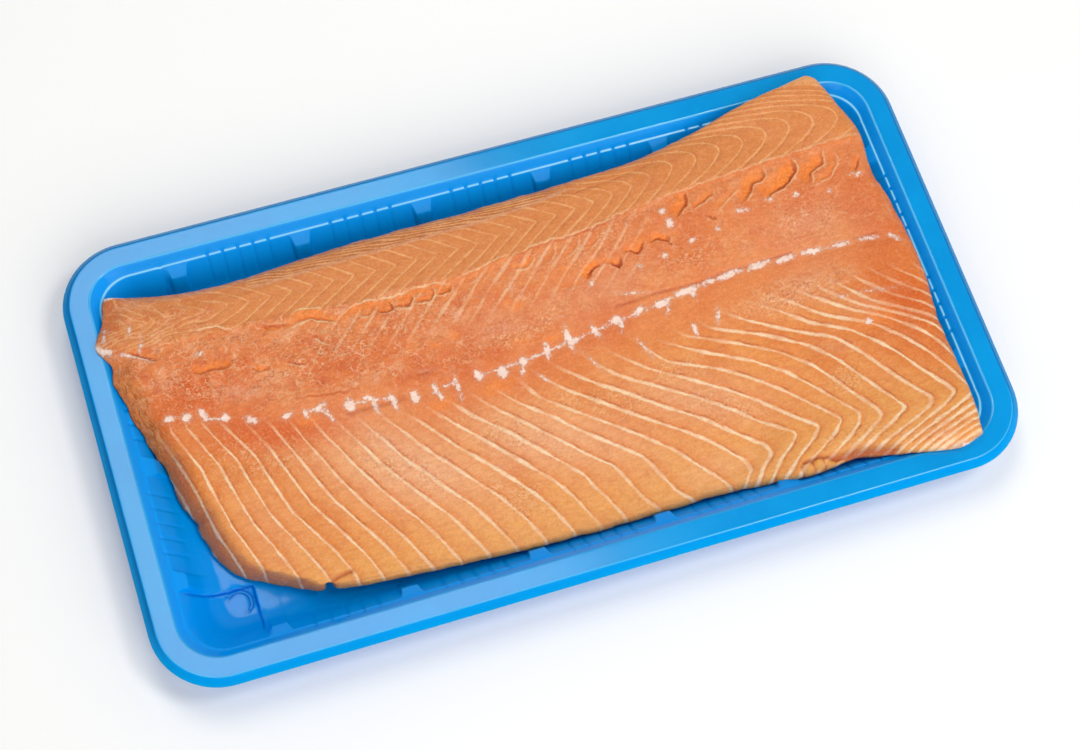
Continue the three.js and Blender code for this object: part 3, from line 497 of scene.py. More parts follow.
def side_stations(is_long):
    """Places along a side where the rings have points: close together at lugs, flutes and feet."""
    lugs, flutes = (LONG_LUGS, LONG_FLUTES) if is_long else (SHORT_LUGS, SHORT_FLUTES)
    end = 152.0 if is_long else 60.0
    places = {0.0}
    for c in lugs:
        places.update(c + s * o for s in (-1, 1) for o in (0, 1.8, 3.4, 3.75, 4.1, 4.5, 5.0, 5.5, 6.2))
    for c in flutes:
        places.update(c + s * o for s in (-1, 1) for o in (0, 0.5, 1.15, 1.7))
    if not is_long:
        places.update(s * (FOOT_EDGE[1] + o) for s in (-1, 1) for o in (-0.4, 0.1, 0.5, 0.9, 1.3, 1.7, 2.2))
    places = sorted(p for p in places if abs(p) < end + 3)
    filled = []
    for a, b in zip(places, places[1:]):
        steps = max(1, round((b - a) / 3.6))
        filled += [lerp(a, b, k / steps) for k in range(steps)]
    return np.array(filled + [places[-1]])


def corner_radius(inset):
    if inset < FLANGE_WIDTH:
        return CORNER_RADIUS - inset
    t = min(1, (inset - FLANGE_WIDTH) / (FLOOR_INSET - FLANGE_WIDTH))
    return lerp(CORNER_RADIUS - FLANGE_WIDTH, FLOOR_CORNER_RADIUS, t)


def tray_ring(inset):
    """One ring of the tray: x, y, place along its side and whether that side is long."""
    rows = []
    radius = corner_radius(inset)
    for side in range(4):
        short = side % 2
        length, width = FLANGE_HALF[short], FLANGE_HALF[1 - short]
        half, out = length - inset - radius, width - inset
        full = length - CORNER_RADIUS
        inner = STRAIGHT_HALF[short]
        ends = np.linspace(inner, full, END_STEPS + 1)[1:]
        moved = inner + (ends - inner) * (half - inner) / (full - inner)
        middle = side_stations(not short)
        middle = middle[np.abs(middle) < inner]
        along = np.concatenate([-moved[::-1], middle, moved])
        turn = np.linspace(0, math.pi / 2, CORNER_STEPS + 1)[1:-1]
        place = np.concatenate([along, half + radius * np.sin(turn)])
        outward = np.concatenate([np.full(along.shape, out), out - radius + radius * np.cos(turn)])
        feature = np.concatenate([along, np.full(turn.shape, 300.0)])
        c, s = math.cos(side * math.pi / 2), math.sin(side * math.pi / 2)
        kind = np.full(place.shape, float(not short))
        rows.append(np.column_stack([place * c + outward * s, place * s - outward * c, feature, kind]))
    return np.concatenate(rows)


def floor_patch(boundary):
    """Points and triangles of the floor inside the last ring, with the foot steps and ring grooves."""
    foot_x = (150, 152.6, 153, 153.4, 153.8, 154.2, 154.6, 155, 157.2, 160, 163, 165.4)
    foot_y = (57, 60.6, 61, 61.45, 61.9, 62.3, 62.75, 63.2, 65.5, 68, 70.5, 71.9)
    cx, cy = FOOT_RING_CENTRE
    inner, outer = FOOT_RING_RADII
    radii = [inner - 0.35, inner - 0.1, inner + 0.15, (inner + outer) / 2]
    radii += [outer - 0.15, outer + 0.1, outer + 0.35]
    corner = [(x, y) for x in foot_x for y in foot_y
              if not 3.5 <= math.hypot(x - cx, y - cy) <= outer + 0.8]
    turn = np.arange(44) * math.tau / 44
    corner += [(cx + r * math.cos(a), cy + r * math.sin(a)) for r in radii for a in turn]
    corner += [(x, y) for x in (120, 132, 141) for y in foot_y[:8:2]]
    limit_x, limit_y = boundary.max(axis=0) - 0.5
    corner = [(x, y) for x, y in corner
              if x < limit_x and y < limit_y and (limit_x - x) + (limit_y - y) > 4]
    extra = [(-144 + 12 * i, -54 + 12 * j) for i in range(25) for j in range(10)]
    extra += [(sx * x, sy * y) for sx in (-1, 1) for sy in (-1, 1) for x, y in corner]
    plan, faces, places = fill_ring(boundary, extra)
    x, y = plan.T
    inset = np.minimum(FLANGE_HALF[0] - np.abs(x), FLANGE_HALF[1] - np.abs(y))
    far = np.full(x.shape, 300.0)
    z = tray_height(np.maximum(inset, FLOOR_INSET), x, y, far, np.ones(x.shape, bool))
    from_centre = np.hypot(np.abs(x) - cx, np.abs(y) - cy)
    groove = smooth(from_centre, inner - 0.2, inner + 0.1)
    groove *= 1 - smooth(from_centre, outer - 0.1, outer + 0.2)
    z -= FOOT_RING_DEPTH * groove * smooth(inset, FLOOR_INSET, FLOOR_INSET + 0.9)
    return np.column_stack([x, y, z]), faces, places


def flute_field(rings, extra):
    """Where the ledge is broken: 1 at the flutes, 0 between them."""
    values = []
    for ring in rings:
        along = ring[:, 2]
        to_flute = np.where(ring[:, 3] > 0.5, nearest(along, LONG_FLUTES), nearest(along, SHORT_FLUTES))
        values.append(1 - smooth(to_flute, 0.5, 1.2))
    return np.concatenate(values + [np.zeros(extra)])


def step_shade_field(x, y, inset):
    """Painted shade along the steps down to the feet and the edges of the ring grooves."""
    share = foot_share(x, y)
    from_centre = np.hypot(np.abs(x) - FOOT_RING_CENTRE[0], np.abs(y) - FOOT_RING_CENTRE[1])
    rings = sum(bell((from_centre - r) / 0.34) for r in FOOT_RING_RADII) * (inset > FLOOR_INSET)
    return np.maximum(4 * share * (1 - share) * smooth(inset, 15, 19), rings)


def thicken(top, faces, count):
    """The sheet's underside, moved square to its upper face, and a lip round its open edge."""
    shell = bpy.data.meshes.new("shell")
    shell.from_pydata([tuple(p) for p in top], [], faces)
    normals = np.zeros(len(top) * 3, np.float32)
    shell.vertices.foreach_get("normal", normals)
    bpy.data.meshes.remove(shell)
    normals = normals.reshape(-1, 3)
    if normals[:, 2].mean() < 0:
        normals = -normals
        faces = [face[::-1] for face in faces]
    under = top - normals * SHEET
    under[:count, 2] = np.maximum(under[:count, 2], top[:count, 2] - 0.1)
    under[:, 2] = np.maximum(under[:, 2], 0)
    size = len(top)
    upward = faces[0].index(1) - faces[0].index(0) in (1, -3)
    lip = []
    for i in range(count):
        j = (i + 1) % count
        quad = (i, j, j + size, i + size)
        lip.append(quad[::-1] if upward else quad)
    low_faces = [tuple(v + size for v in face[::-1]) for face in faces]
    return np.concatenate([top, under]), faces + low_faces + lip


def build_tray():
    rings = [tray_ring(inset) for inset in RING_INSETS]
    count = len(rings[0])
    points = []
    for inset, ring in zip(RING_INSETS, rings):
        z = tray_height(np.full(count, float(inset)), ring[:, 0], ring[:, 1], ring[:, 2], ring[:, 3] > 0.5)
        points.append(np.column_stack([ring[:, :2], z]))
    top = np.concatenate(points)
    faces = []
    for k in range(len(rings) - 1):
        for i in range(count):
            j = (i + 1) % count
            faces.append((k * count + i, k * count + j, (k + 1) * count + j, (k + 1) * count + i))
    patch, triangles, places = floor_patch(rings[-1][:, :2])
    numbers, added = join_ring(places, count, (len(rings) - 1) * count, len(top))
    top = np.concatenate([top, patch[added]])
    faces += [tuple(numbers[v] for v in face) for face in triangles]

    x, y = top[:, 0], top[:, 1]
    inset = np.concatenate([np.repeat(RING_INSETS, count), np.full(len(added), 60.0)])
    # Sides where the tray's edges get painted highlights: the far side and the right end, not the near side.
    lit = np.maximum(smooth(y, 50, 75), smooth(x, 150, 170)) * (1 - smooth(-y, 86, 98))
    fields = {
        "inset": inset, "flute": flute_field(rings, len(added)), "step": step_shade_field(x, y, inset),
        "lit": lit, "near_side": smooth(-y, 70, 98)}
    fields = {name: np.tile(values, 2) for name, values in fields.items()}
    return write_mesh("tray_shell", *thicken(top, faces, count), fields)


# ---- Fillet ----
def curve_through(points):
    """A centripetal Catmull-Rom curve, returned as a function of the share of its length."""
    p = [np.array(q, float) for q in points]
    p = [2 * p[0] - p[1]] + p + [2 * p[-1] - p[-2]]
    samples = []
    for k in range(1, len(p) - 2):
        a, b, c, d = p[k - 1:k + 3]
        t0, t1, t2 = (math.sqrt(np.linalg.norm(v)) for v in (b - a, c - b, d - c))
        m1 = ((b - a) / t0 - (c - a) / (t0 + t1) + (c - b) / t1) * t1
        m2 = ((c - b) / t1 - (d - b) / (t1 + t2) + (d - c) / t2) * t1
        for t in np.arange(40) / 40:
            square, cube = 3 * (c - b) - 2 * m1 - m2, 2 * (b - c) + m1 + m2
            samples.append(b + m1 * t + square * t ** 2 + cube * t ** 3)
    samples.append(p[-2])
    samples = np.array(samples)
    steps = np.linalg.norm(np.diff(samples, axis=0), axis=1)
    place = np.concatenate([[0], np.cumsum(steps)])
    length = place[-1]

    def at(share):
        share = np.asarray(share, float) * length
        return np.stack([np.interp(share, place, samples[:, axis]) for axis in range(3)], axis=-1)

    return at, length


def ragged_line(curve, shares, strength):
    """Points along a rim curve, moved about in plan but not at the curve's ends."""
    points = curve(shares)
    arc = np.concatenate([[0], np.cumsum(np.linalg.norm(np.diff(points[:, :2], axis=0), axis=1))])
    shift = fractal(arc / 6, arc * 0, 11) * strength
    slide = fractal(arc / 4, arc * 0 + 3, 17) * strength * 0.5
    direction = np.gradient(points[:, :2], axis=0)
    direction /= np.maximum(np.linalg.norm(direction, axis=1, keepdims=True), 1e-6)
    normal = np.column_stack([-direction[:, 1], direction[:, 0]])
    moved = points.copy()
    moved[:, :2] += normal * shift[:, None] + direction * slide[:, None]
    fade = np.sin(np.pi * shares) ** 0.3
    return lerp(points, moved, fade[:, None])


def beside(line, x, y):
    """Distance to an open polyline, positive above it."""
    distance = np.full(x.shape, 1e9)
    for (ax, ay), (bx, by) in zip(line, line[1:]):
        k = np.clip(((x - ax) * (bx - ax) + (y - ay) * (by - ay)) / ((bx - ax) ** 2 + (by - ay) ** 2), 0, 1)
        distance = np.minimum(distance, np.hypot(x - lerp(ax, bx, k), y - lerp(ay, by, k)))
    return distance * np.sign(y - table(line, x))


def local(x, y, px, py, turn):
    a = math.radians(turn)
    return (x - px) * math.cos(a) + (y - py) * math.sin(a), (y - py) * math.cos(a) - (x - px) * math.sin(a)


def blobs(x, y, items):
    """The strongest of several soft ovals at each point."""
    total = np.zeros(x.shape)
    for px, py, half_length, half_width, turn, strength in items:
        u, v = local(x, y, px, py, turn)
        total = np.maximum(total, strength * np.exp(-(u / half_length) ** 2 - (v / half_width) ** 2))
    return total


def loin_phase(x, y):
    """Number of the belly side's seam at each point, with fractions between the seams."""
    levels = LOIN_LEVELS[::-1]
    dense = np.linspace(levels[0], levels[-1], 240)
    kernel = np.hanning(13)
    curves = []
    for _, xs in LOIN_KEYS:
        padded = np.pad(np.interp(dense, levels, xs[::-1]), 6, mode="reflect", reflect_type="odd")
        curves.append(np.interp(y, dense, np.convolve(padded, kernel / kernel.sum(), "valid")))
    numbers = [number for number, _ in LOIN_KEYS]
    phase = numbers[0] + np.minimum(x - curves[0], 0) / 6
    for first, second, a, b in zip(numbers, numbers[1:], curves, curves[1:]):
        t = np.clip((x - a) / np.maximum(b - a, 0.3), 0, 1)
        phase = np.where(x > a, first + (second - first) * t, phase)
    return phase


def back_phase(x, y):
    """Number of the back's chevron at each point."""
    up = y - table(TIP_LINE, x)
    right = smooth(x, 10, 110)
    left = smooth(-x, 126, 168)
    below = np.maximum(-up, 0)
    above = np.maximum(up, 0)
    arm = lerp((1.62 + 3 * left) * below, 25.5 * (below / 15) ** 1.65, right)
    bent = np.where(above < 9, 0.045 * above ** 2.6, 13.6 + 4.6 * (above - 9))
    straight = 1.35 * above + 0.9 * np.maximum(above - 8, 0) - 1.2 * np.maximum(above - 12, 0)
    arm += lerp(straight, bent, right)
    return table(TIP_NUMBERS, x + arm) + 0.8 * smooth(-x, 118, 160) * noise(x / 10, y / 4.5, 31)


def spacing(phase, x, y):
    """Distance across the seams from one to the next, from the phase's gradient on the grid."""
    dxu, dxv = np.gradient(x)
    dyu, dyv = np.gradient(y)
    dpu, dpv = np.gradient(phase)
    det = dxu * dyv - dxv * dyu
    det = np.where(np.abs(det) < 1e-6, 1e-6, det)
    gx = (dpu * dyv - dpv * dyu) / det
    gy = (dpv * dxu - dpu * dxv) / det
    return np.clip(1 / np.maximum(np.hypot(gx, gy), 1e-3), 1, 14)


def flake_fields(x, y):
    """Relief and colour masks of the parted flakes, and the signed distance to the nearest edge."""
    depth, orange, dark, rim = (np.zeros(x.shape) for _ in range(4))
    closest = np.full(x.shape, 9.0)
    wx = x + 0.7 * noise(x / 2.6, y / 2.6, 3)
    wy = y + 0.7 * noise(x / 2.6, y / 2.6, 4)
    for line, reach, orange_part, shade_part, rim_part, down in FLAKES:
        best, side, place = np.full(x.shape, 1e9), np.zeros(x.shape), np.zeros(x.shape)
        lengths = [math.dist(a, b) for a, b in zip(line, line[1:])]
        for k, ((ax, ay), (bx, by)) in enumerate(zip(line, line[1:])):
            dx, dy = (bx - ax) / lengths[k], (by - ay) / lengths[k]
            along = np.clip((wx - ax) * dx + (wy - ay) * dy, 0, lengths[k])
            ox, oy = wx - ax - along * dx, wy - ay - along * dy
            distance = np.hypot(ox, oy)
            closer = distance < best
            best = np.where(closer, distance, best)
            side = np.where(closer, np.where(dx * oy - dy * ox >= 0, 1.0, -1.0), side)
            place = np.where(closer, (sum(lengths[:k]) + along) / sum(lengths), place)
        taper = np.clip(4 * place * (1 - place), 0, 1) ** 0.5
        inside = best * side
        step = smooth(inside, -0.5, 0.5) * (1 - smooth(inside, 0.3 * reach, 1.1 * reach))
        depth = np.maximum(depth, FLAKE_DEPTH * down * taper * step)
        lip = 0.22 * rim_part * taper * bell((inside + 0.9) / 0.8)
        depth = np.where((inside < 0) & (best < 3), depth - lip, depth)
        colour = smooth(inside, -0.3, 0.4) * (1 - smooth(inside, 0.45 * reach, 1.25 * reach))
        orange = np.maximum(orange, orange_part * taper ** 0.5 * colour)
        here = best < np.abs(closest)
        closest = np.where(here, inside, closest)
        dark = np.where(here, shade_part * taper, dark)
        rim = np.where(here, rim_part * taper, rim)
    spots = blobs(wx, wy, [(*spot, 0, 0.6) for spot in SPOTS])
    masks = {"orange": np.maximum(orange, spots), "edge_mm": np.clip(closest, -9, 9),
             "edge_shade": dark, "edge_rim": rim}
    return depth, masks


def crease_fields(x, y):
    depth, dark = np.zeros(x.shape), np.zeros(x.shape)
    for line, width, down in CREASES:
        near = bell(np.abs(beside(line, x, y)) / width)
        depth = np.maximum(depth, down * near)
        # Painted shade along the crease, stronger where it is deeper.
        dark = np.maximum(dark, min(1, 0.5 + down / 4) * near)
    return depth, dark


def mark_distance(x, y):
    distance = np.full(x.shape, 9.0)
    for px, py, half_length, half_width, turn in MARKS:
        u, v = local(x, y, px, py, turn)
        k = np.hypot(u / half_length, v / half_width)
        distance = np.minimum(distance, (k - 1) * min(half_length, half_width))
    for line, width in STROKES:
        distance = np.minimum(distance, np.abs(beside(line, x, y)) - width)
    return distance


def ridge(phase):
    """Rises from 0 at each seam to 1 halfway between two."""
    return (np.abs(np.mod(phase + 0.5, 1) - 0.5) * 2) ** 0.6


def seam_fields(x, y, centre, on_back):
    """Numbers, spacing and strength of the seams, the skin-side strip, and the low ridges between seams."""
    loin = loin_phase(x, y)
    middle = 40 + (x - 1.05 * (y - 40) + 66) / 9.55 + 0.12 * noise(x / 14, y / 14, 23)
    chevron = back_phase(x, y)
    above_film = y - table(FILM_LINE, x)
    film_part = smooth(x, -132, -108) * (1 - smooth(x, 30, 42))
    strip = smooth(above_film, -0.3, 0.3) * film_part
    strip_phase = 90.5 + (above_film + 0.17 * x) / STRIP_SEAM_SPACING
    strip_phase += 0.5 * noise(x / 11, above_film / 3, 37)
    back_mm = np.where(strip > 0.5, STRIP_SEAM_SPACING, spacing(chevron, x, y))
    chevron = np.where(strip > 0.5, strip_phase, chevron)

    above_centre = smooth(centre, 6, 12)
    left_part = 1 - smooth(x, -120, -90)
    below = (1 - smooth(centre, -20, -3)) * (1 - 0.95 * smooth(x, 18, 50) * smooth(centre, -24, -13))
    loin_lines = np.maximum(below, left_part * (1 - smooth(centre, -8, 0)) * 0.6) * (1 - above_centre)
    loin_lines *= 1 - 0.35 * smooth(-y, 55, 80) * (1 - smooth(x, 20, 70))
    middle_lines = above_centre * smooth(y, 18, 32) * (1 - on_back)
    middle_lines *= (1 - smooth(x, 45, 75)) * smooth(x, -110, -85)
    ridges = LOIN_RIDGE * loin_lines * (ridge(loin) - 0.6) + BACK_RIDGE * on_back * (ridge(chevron) - 0.6)
    return ridges, {
        "seam_phase": np.where(centre > 9, middle, loin),
        "seam_mm": np.where(centre > 9, MIDDLE_SEAM_SPACING, spacing(loin, x, y)),
        "line": np.maximum(loin_lines, 0.5 * middle_lines) * (1 - blobs(x, y, PLAIN)),
        "back_phase": chevron, "back_mm": back_mm, "strip": strip, "thin": 1 - smooth(x, -130, -40),
        "film_and_sheen": np.maximum(blobs(x, y, FILMS_AND_SHEEN), 0.8 * film_part * bell(above_film / 0.7))}


def support_height(x, y):
    """Height of the tray's upper surface under a point, without lugs and flutes."""
    ax, ay = np.abs(x), np.abs(y)
    inset = np.minimum(FLANGE_HALF[0] - ax, FLANGE_HALF[1] - ay)
    for _ in range(3):
        radius = np.vectorize(corner_radius)(np.clip(inset, -3, 40))
        past_x = ax - (FLANGE_HALF[0] - inset - radius)
        past_y = ay - (FLANGE_HALF[1] - inset - radius)
        reach = np.hypot(np.maximum(past_x, 0), np.maximum(past_y, 0))
        inset = np.where((past_x > 0) & (past_y > 0), inset + (radius - reach), inset)
    return table(MAIN_PROFILE, np.clip(inset, -3, 150))


def fillet_sheet():
    """The sheet spanned by the four rims: shares along and across, x, y, rim height and both lengths."""
    belly, length = curve_through(BELLY_RIM)
    right, width = curve_through(RIGHT_RIM)
    back, _ = curve_through(BACK_RIM)
    cut, _ = curve_through(CUT_RIM)
    p = np.interp(np.arange(COLUMNS + 1), [0, 14, COLUMNS - 8, COLUMNS], [0, 0.026, 0.985, 1])
    q = np.interp(np.arange(ROWS + 1), [0, 6, 14, 92, 122, 150, 190, 199, ROWS],
                  [0, 0.012, 0.04, 0.48, 0.61, 0.75, 0.945, 0.985, 1])
    cut, right = ragged_line(cut, q, 1.1)[:, None], ragged_line(right, q, 0.5)[:, None]
    belly, back = ragged_line(belly, p, 0.45)[None], ragged_line(back, p, 0.4)[None]
    along, across = np.meshgrid(p, q)
    u, v = along[..., None], across[..., None]
    sheet = belly * (1 - v) + back * v + cut * (1 - u) + right * u
    sheet = sheet - belly[:, 0] * (1 - u) * (1 - v) - belly[:, -1] * u * (1 - v)
    sheet = sheet - back[:, 0] * (1 - u) * v - back[:, -1] * u * v
    x, y, rim_z = np.moveaxis(sheet, 2, 0)
    from_belly = across * width
    notch = NOTCH_DEPTH * bell((x - NOTCH_X) / 1.5) * bell(from_belly / 5)
    y = y + notch
    flap = FLAP_REACH * bell((x - FLAP_X) / 4) * bell(from_belly / 7)
    return along, across, x, y - flap, rim_z, length, width


def close_below(top, rim, faces):
    """Adds the side, which draws in below the rim and stays clear of the tray, and the bottom."""
    edge, count = top[rim], len(rim)
    spine = np.clip(edge[:, 0], -SPINE_HALF, SPINE_HALF)
    reach = np.hypot(edge[:, 0] - spine, edge[:, 1])
    points, previous = [top], rim
    for number, share in enumerate(SIDE_SHARES):
        k = UNDER_TUCK * share ** 1.3 / reach
        x, y = lerp(edge[:, 0], spine, k), lerp(edge[:, 1], 0, k)
        z = np.maximum(lerp(edge[:, 2], MAIN_FLOOR_Z, share), support_height(x, y) + GAP)
        points.append(np.column_stack([x, y, np.minimum(z, edge[:, 2] - 0.02 * share)]))
        ring = [len(top) + number * count + i for i in range(count)]
        for i in range(count):
            j = (i + 1) % count
            faces.append((ring[i], ring[j], previous[j], previous[i]))
        previous = ring
    points = np.concatenate(points)
    inner = [(x, y) for x in np.arange(-170, 171, 10.0) for y in np.arange(-80, 81, 10.0)]
    plan, cap, places = fill_ring(points[previous, :2], inner)
    numbers, added = join_ring(places, count, previous[0], len(points))
    x, y = plan[added].T
    points = np.concatenate([points, np.column_stack([x, y, support_height(x, y) + GAP])])
    for face in cap:
        a, b, c = (plan[v] for v in face[:3])
        upward = (b[0] - a[0]) * (c[1] - a[1]) - (b[1] - a[1]) * (c[0] - a[0]) > 0
        faces.append(tuple(numbers[v] for v in (face[::-1] if upward else face)))
    return points


def build_fillet():
    along, across, x, y, rim_z, length, width = fillet_sheet()
    from_cut, from_belly = along * length, across * width
    seam = beside(TORN_SEAM, x, y)
    centre = beside(CENTRE_LINE, x, y)
    on_back = smooth(seam, -0.4, 0.6)
    torn = smooth(seam, -26, -4) * (1 - on_back)
    hollow, flake_masks = flake_fields(x, y)
    crease, dark = crease_fields(x, y)
    ridges, seam_masks = seam_fields(x, y, centre, on_back)
    rough = smooth(centre, 0, 10) * (1 - smooth(seam, 0, 4)) * lerp(1.0, 0.45, smooth(x, -110, 40))
    rough = np.maximum(rough, 0.8 * (1 - smooth(np.hypot((x - 128) / 36, (y + 3) / 10), 0.5, 1)))
    rough = np.maximum(rough, 0.8 * on_back * (1 - smooth(x, -160, -120)))

    ripple = fractal(x / 7, y / 6, 8) * smooth(centre, -4, 8) * (1 - on_back)
    relief = CRAG_HEIGHT * fractal((x + y) / 11, (y - x) / 4.5, 5) * torn + RIPPLE_HEIGHT * ripple
    relief += SWELL_HEIGHT * noise(x / 26, y / 22, 9) + ridges
    relief -= GROOVE_DEPTH * bell(np.minimum(seam, 0) / 8) * smooth(-seam, -2, 3.5)
    relief -= CENTRE_GROOVE_DEPTH * bell(centre / 3.2) + hollow + crease
    crown = np.maximum(table(CROWN, across), rim_z + END_THICKNESS) + relief
    to_edge = np.minimum(np.minimum(across, 1 - across) * width, (1 - along) * length) / EDGE_ROUNDING
    round_edge = np.sqrt(1 - (1 - np.clip(to_edge, 0, 1)) ** 2)
    slope = np.sin(np.pi / 2 * np.clip(from_cut / CUT_SLOPE_RUN, 0, 1)) ** 0.9
    lobes = blobs(x, y, LOBES)
    z = lerp(rim_z, crown, np.minimum(round_edge, slope)) + LOBE_HEIGHT * lobes

    top = np.column_stack([x.ravel(), y.ravel(), z.ravel()])
    row = COLUMNS + 1
    faces = [(r * row + c, r * row + c + 1, (r + 1) * row + c + 1, (r + 1) * row + c)
             for r in range(ROWS) for c in range(COLUMNS)]
    rim = list(range(COLUMNS)) + [r * row + COLUMNS for r in range(ROWS)]
    rim += [ROWS * row + c for c in range(COLUMNS, 0, -1)] + [r * row for r in range(ROWS, 0, -1)]
    points = close_below(top, rim, faces)

    middle_of_cut = smooth(y, -12, 16) * (1 - smooth(y, 38, 50))
    fields = {
        **flake_masks, **seam_masks, "on_back": on_back, "torn": torn, "rough": rough, "dark": dark,
        "belly": 1 - smooth(y, -78, -42), "under": 1 - smooth(centre, -30, 2),
        "grain_sparkle": blobs(x, y, [(*patch, 1.0) for patch in GRAIN_SPARKLE_PATCHES]), "mark": mark_distance(x, y),
        "pale_sheen": blobs(x, y, PALE_SHEEN_PATCHES), "richer": blobs(x, y, RICHER), "lobe": lobes,
        "cut": (1 - smooth(from_cut, 5.0, 11.0)) * lerp(0.12, 1.0, middle_of_cut),
        "end_face": 1 - smooth(from_cut, 4, 11), "from_cut": from_cut, "along_cut": from_belly}
    side = rim * len(SIDE_SHARES)
    rest = len(points) - len(top) - len(side)
    for name, values in fields.items():
        values = values.ravel()
        fields[name] = np.concatenate([values, values[side], np.full(rest, values.mean())])
    return write_mesh("fillet_flesh", points, faces, fields)


# ---- Materials ----
class Nodes:
    """Short names for making shader nodes. Inputs may be numbers, colours or output sockets."""

    def __init__(self, name):
        self.material = bpy.data.materials.new(name)
        self.material.use_nodes = True
        self.tree = self.material.node_tree
        self.tree.nodes.clear()
        coordinates = self.add("ShaderNodeTexCoord").outputs["Object"]
        self.place = self.vector("SCALE", coordinates, scale=1000)

    def add(self, kind, settings=None, **inputs):
        node = self.tree.nodes.new(kind)
        for key, value in (settings or {}).items():
            setattr(node, key, value)
        for key, value in inputs.items():
            self.feed(node.inputs[key.replace("_", " ")], value)
        return node

    def feed(self, socket, value):
        if isinstance(value, bpy.types.NodeSocket):
            self.tree.links.new(value, socket)
        elif isinstance(value, (tuple, list)) and socket.type == "RGBA":
            socket.default_value = (*value[:3], 1)
        else:
            socket.default_value = value

    def math(self, operation, *values):
        node = self.add("ShaderNodeMath", {"operation": operation})
        for socket, value in zip(node.inputs, values):
            self.feed(socket, value)
        return node.outputs[0]

    def times(self, first, *others):
        for other in others:
            first = self.math("MULTIPLY", first, other)
        return first

    def plus(self, first, *others):
        for other in others:
            first = self.math("ADD", first, other)
        return first

    def minus(self, first, other):
        return self.math("SUBTRACT", first, other)

    def vector(self, operation, *values, scale=None):
        node = self.add("ShaderNodeVectorMath", {"operation": operation})
        for socket, value in zip(node.inputs, values):
            self.feed(socket, value)
        if scale is not None:
            self.feed(node.inputs["Scale"], scale)
        return node.outputs[0]

    def field(self, name):
        return self.add("ShaderNodeAttribute", {"attribute_name": name}).outputs["Fac"]

    def noise(self, size, detail=2.0, where=None, rough=0.55, stretch=None):
        where = where or self.place
        if stretch:
            where = self.vector("MULTIPLY", where, stretch)
        node = self.add("ShaderNodeTexNoise", Vector=where, Scale=1 / size, Detail=detail, Roughness=rough)
        return node.outputs["Fac"]

    def swing(self, reach, size, detail):
        """Noise from minus to plus half the reach."""
        return self.times(self.minus(self.noise(size, detail), 0.5), reach)

    def ramp(self, value, low, high, to_low=0.0, to_high=1.0):
        node = self.add("ShaderNodeMapRange", {"interpolation_type": "SMOOTHSTEP"})
        for key, item in (("Value", value), ("From Min", low), ("From Max", high),
                          ("To Min", to_low), ("To Max", to_high)):
            self.feed(node.inputs[key], item)
        return node.outputs[0]

    def patches(self, size, detail, low, high, to_low=0.0, to_high=1.0):
        return self.ramp(self.noise(size, detail), low, high, to_low, to_high)

    def band(self, value, rise, full, fall, end):
        """Rises from 0 to 1 between rise and full, and drops back between fall and end."""
        return self.times(self.ramp(value, rise, full), self.ramp(value, end, fall))

    def curls(self, size, detail, level, low, high, rough=0.6, stretch=None):
        """Thin curling lines, along one level of a noise."""
        away = self.minus(self.noise(size, detail, rough=rough, stretch=stretch), level)
        return self.ramp(self.math("ABSOLUTE", away), low, high, 1.0, 0.0)

    def blend(self, under, over, *shares):
        """One colour laid over another by the product of the shares."""
        node = self.add("ShaderNodeMix", {"data_type": "RGBA"})
        for place, value in ((0, self.times(*shares)), (6, under), (7, over)):
            self.feed(node.inputs[place], value)
        return node.outputs[2]

    def finish(self, shader):
        output = self.add("ShaderNodeOutputMaterial")
        self.tree.links.new(shader.outputs[0], output.inputs["Surface"])
        return self.material


def tray_material():
    n = Nodes("blue_plastic")
    cloud = n.noise(38, 3)
    inset, lit, near = n.field("inset"), n.field("lit"), n.field("near_side")
    solid = n.ramp(n.field("flute"), 0.2, 0.6, 1.0, 0.0)
    inner = n.ramp(inset, 9.5, 10.3)
    skirt = n.ramp(inset, 0.5, 0.15)
    colour = n.blend(*PLASTIC, n.ramp(cloud, 0.35, 0.65))
    # The inside of the tray is painted a brighter blue, standing in for light on its walls and floor.
    colour = n.blend(colour, PLASTIC_INSIDE_BRIGHTENED, inner)
    # Painted highlight along the ledge's rounded edge, broken at the flutes.
    colour = n.blend(colour, PLASTIC_LEDGE_HIGHLIGHT, n.band(inset, 13.0, 13.35, 13.75, 14.1), solid, lit, 0.85)
    # Painted highlight along the flange's inner edge, stronger on the far side and right end.
    colour = n.blend(colour, PLASTIC_BRIM_HIGHLIGHT, n.band(inset, 9.0, 9.4, 9.6, 10.0), n.ramp(lit, 0, 1, 0.15, 0.6))
    # Painted shade along the foot steps and the ring grooves' edges.
    colour = n.blend(colour, PLASTIC_STEP_SHADE, n.field("step"), 0.75)
    # Painted highlight along the near side's outer flange edge.
    colour = n.blend(colour, PLASTIC_BRIM_HIGHLIGHT, n.band(inset, 0.1, 0.4, 0.6, 1.0), near, 0.7)
    # Painted shade on the skirt: darker away from the near side, fading to the plain blue on the near side.
    shaded_skirt_colour = n.blend(PLASTIC_SKIRT_SHADE, PLASTIC_SKIRT, near)
    colour = n.blend(colour, shaded_skirt_colour, skirt, n.ramp(inset, -2.0, -0.3, 0.4, 0.9))
    shine = n.plus(n.ramp(inner, 0, 1, 0.5, 0.18), n.ramp(inset, 26, 31, 0.0, 0.1), n.times(skirt, -0.46))
    rough = n.plus(n.times(cloud, 0.10), 0.10)
    height = n.plus(n.times(n.noise(16, 2), 0.04), n.times(n.noise(2.2, 2), 0.004))
    bump = n.add("ShaderNodeBump", Height=height, Distance=MM, Strength=0.6)
    # The thin sheet lets some light through.
    return n.finish(n.add(
        "ShaderNodeBsdfPrincipled", Base_Color=colour, Roughness=rough, IOR=1.49, Normal=bump.outputs[0],
        Specular_IOR_Level=shine, Subsurface_Weight=0.25, Subsurface_Scale=0.004,
        Subsurface_Radius=(0.1, 0.6, 1.0)))


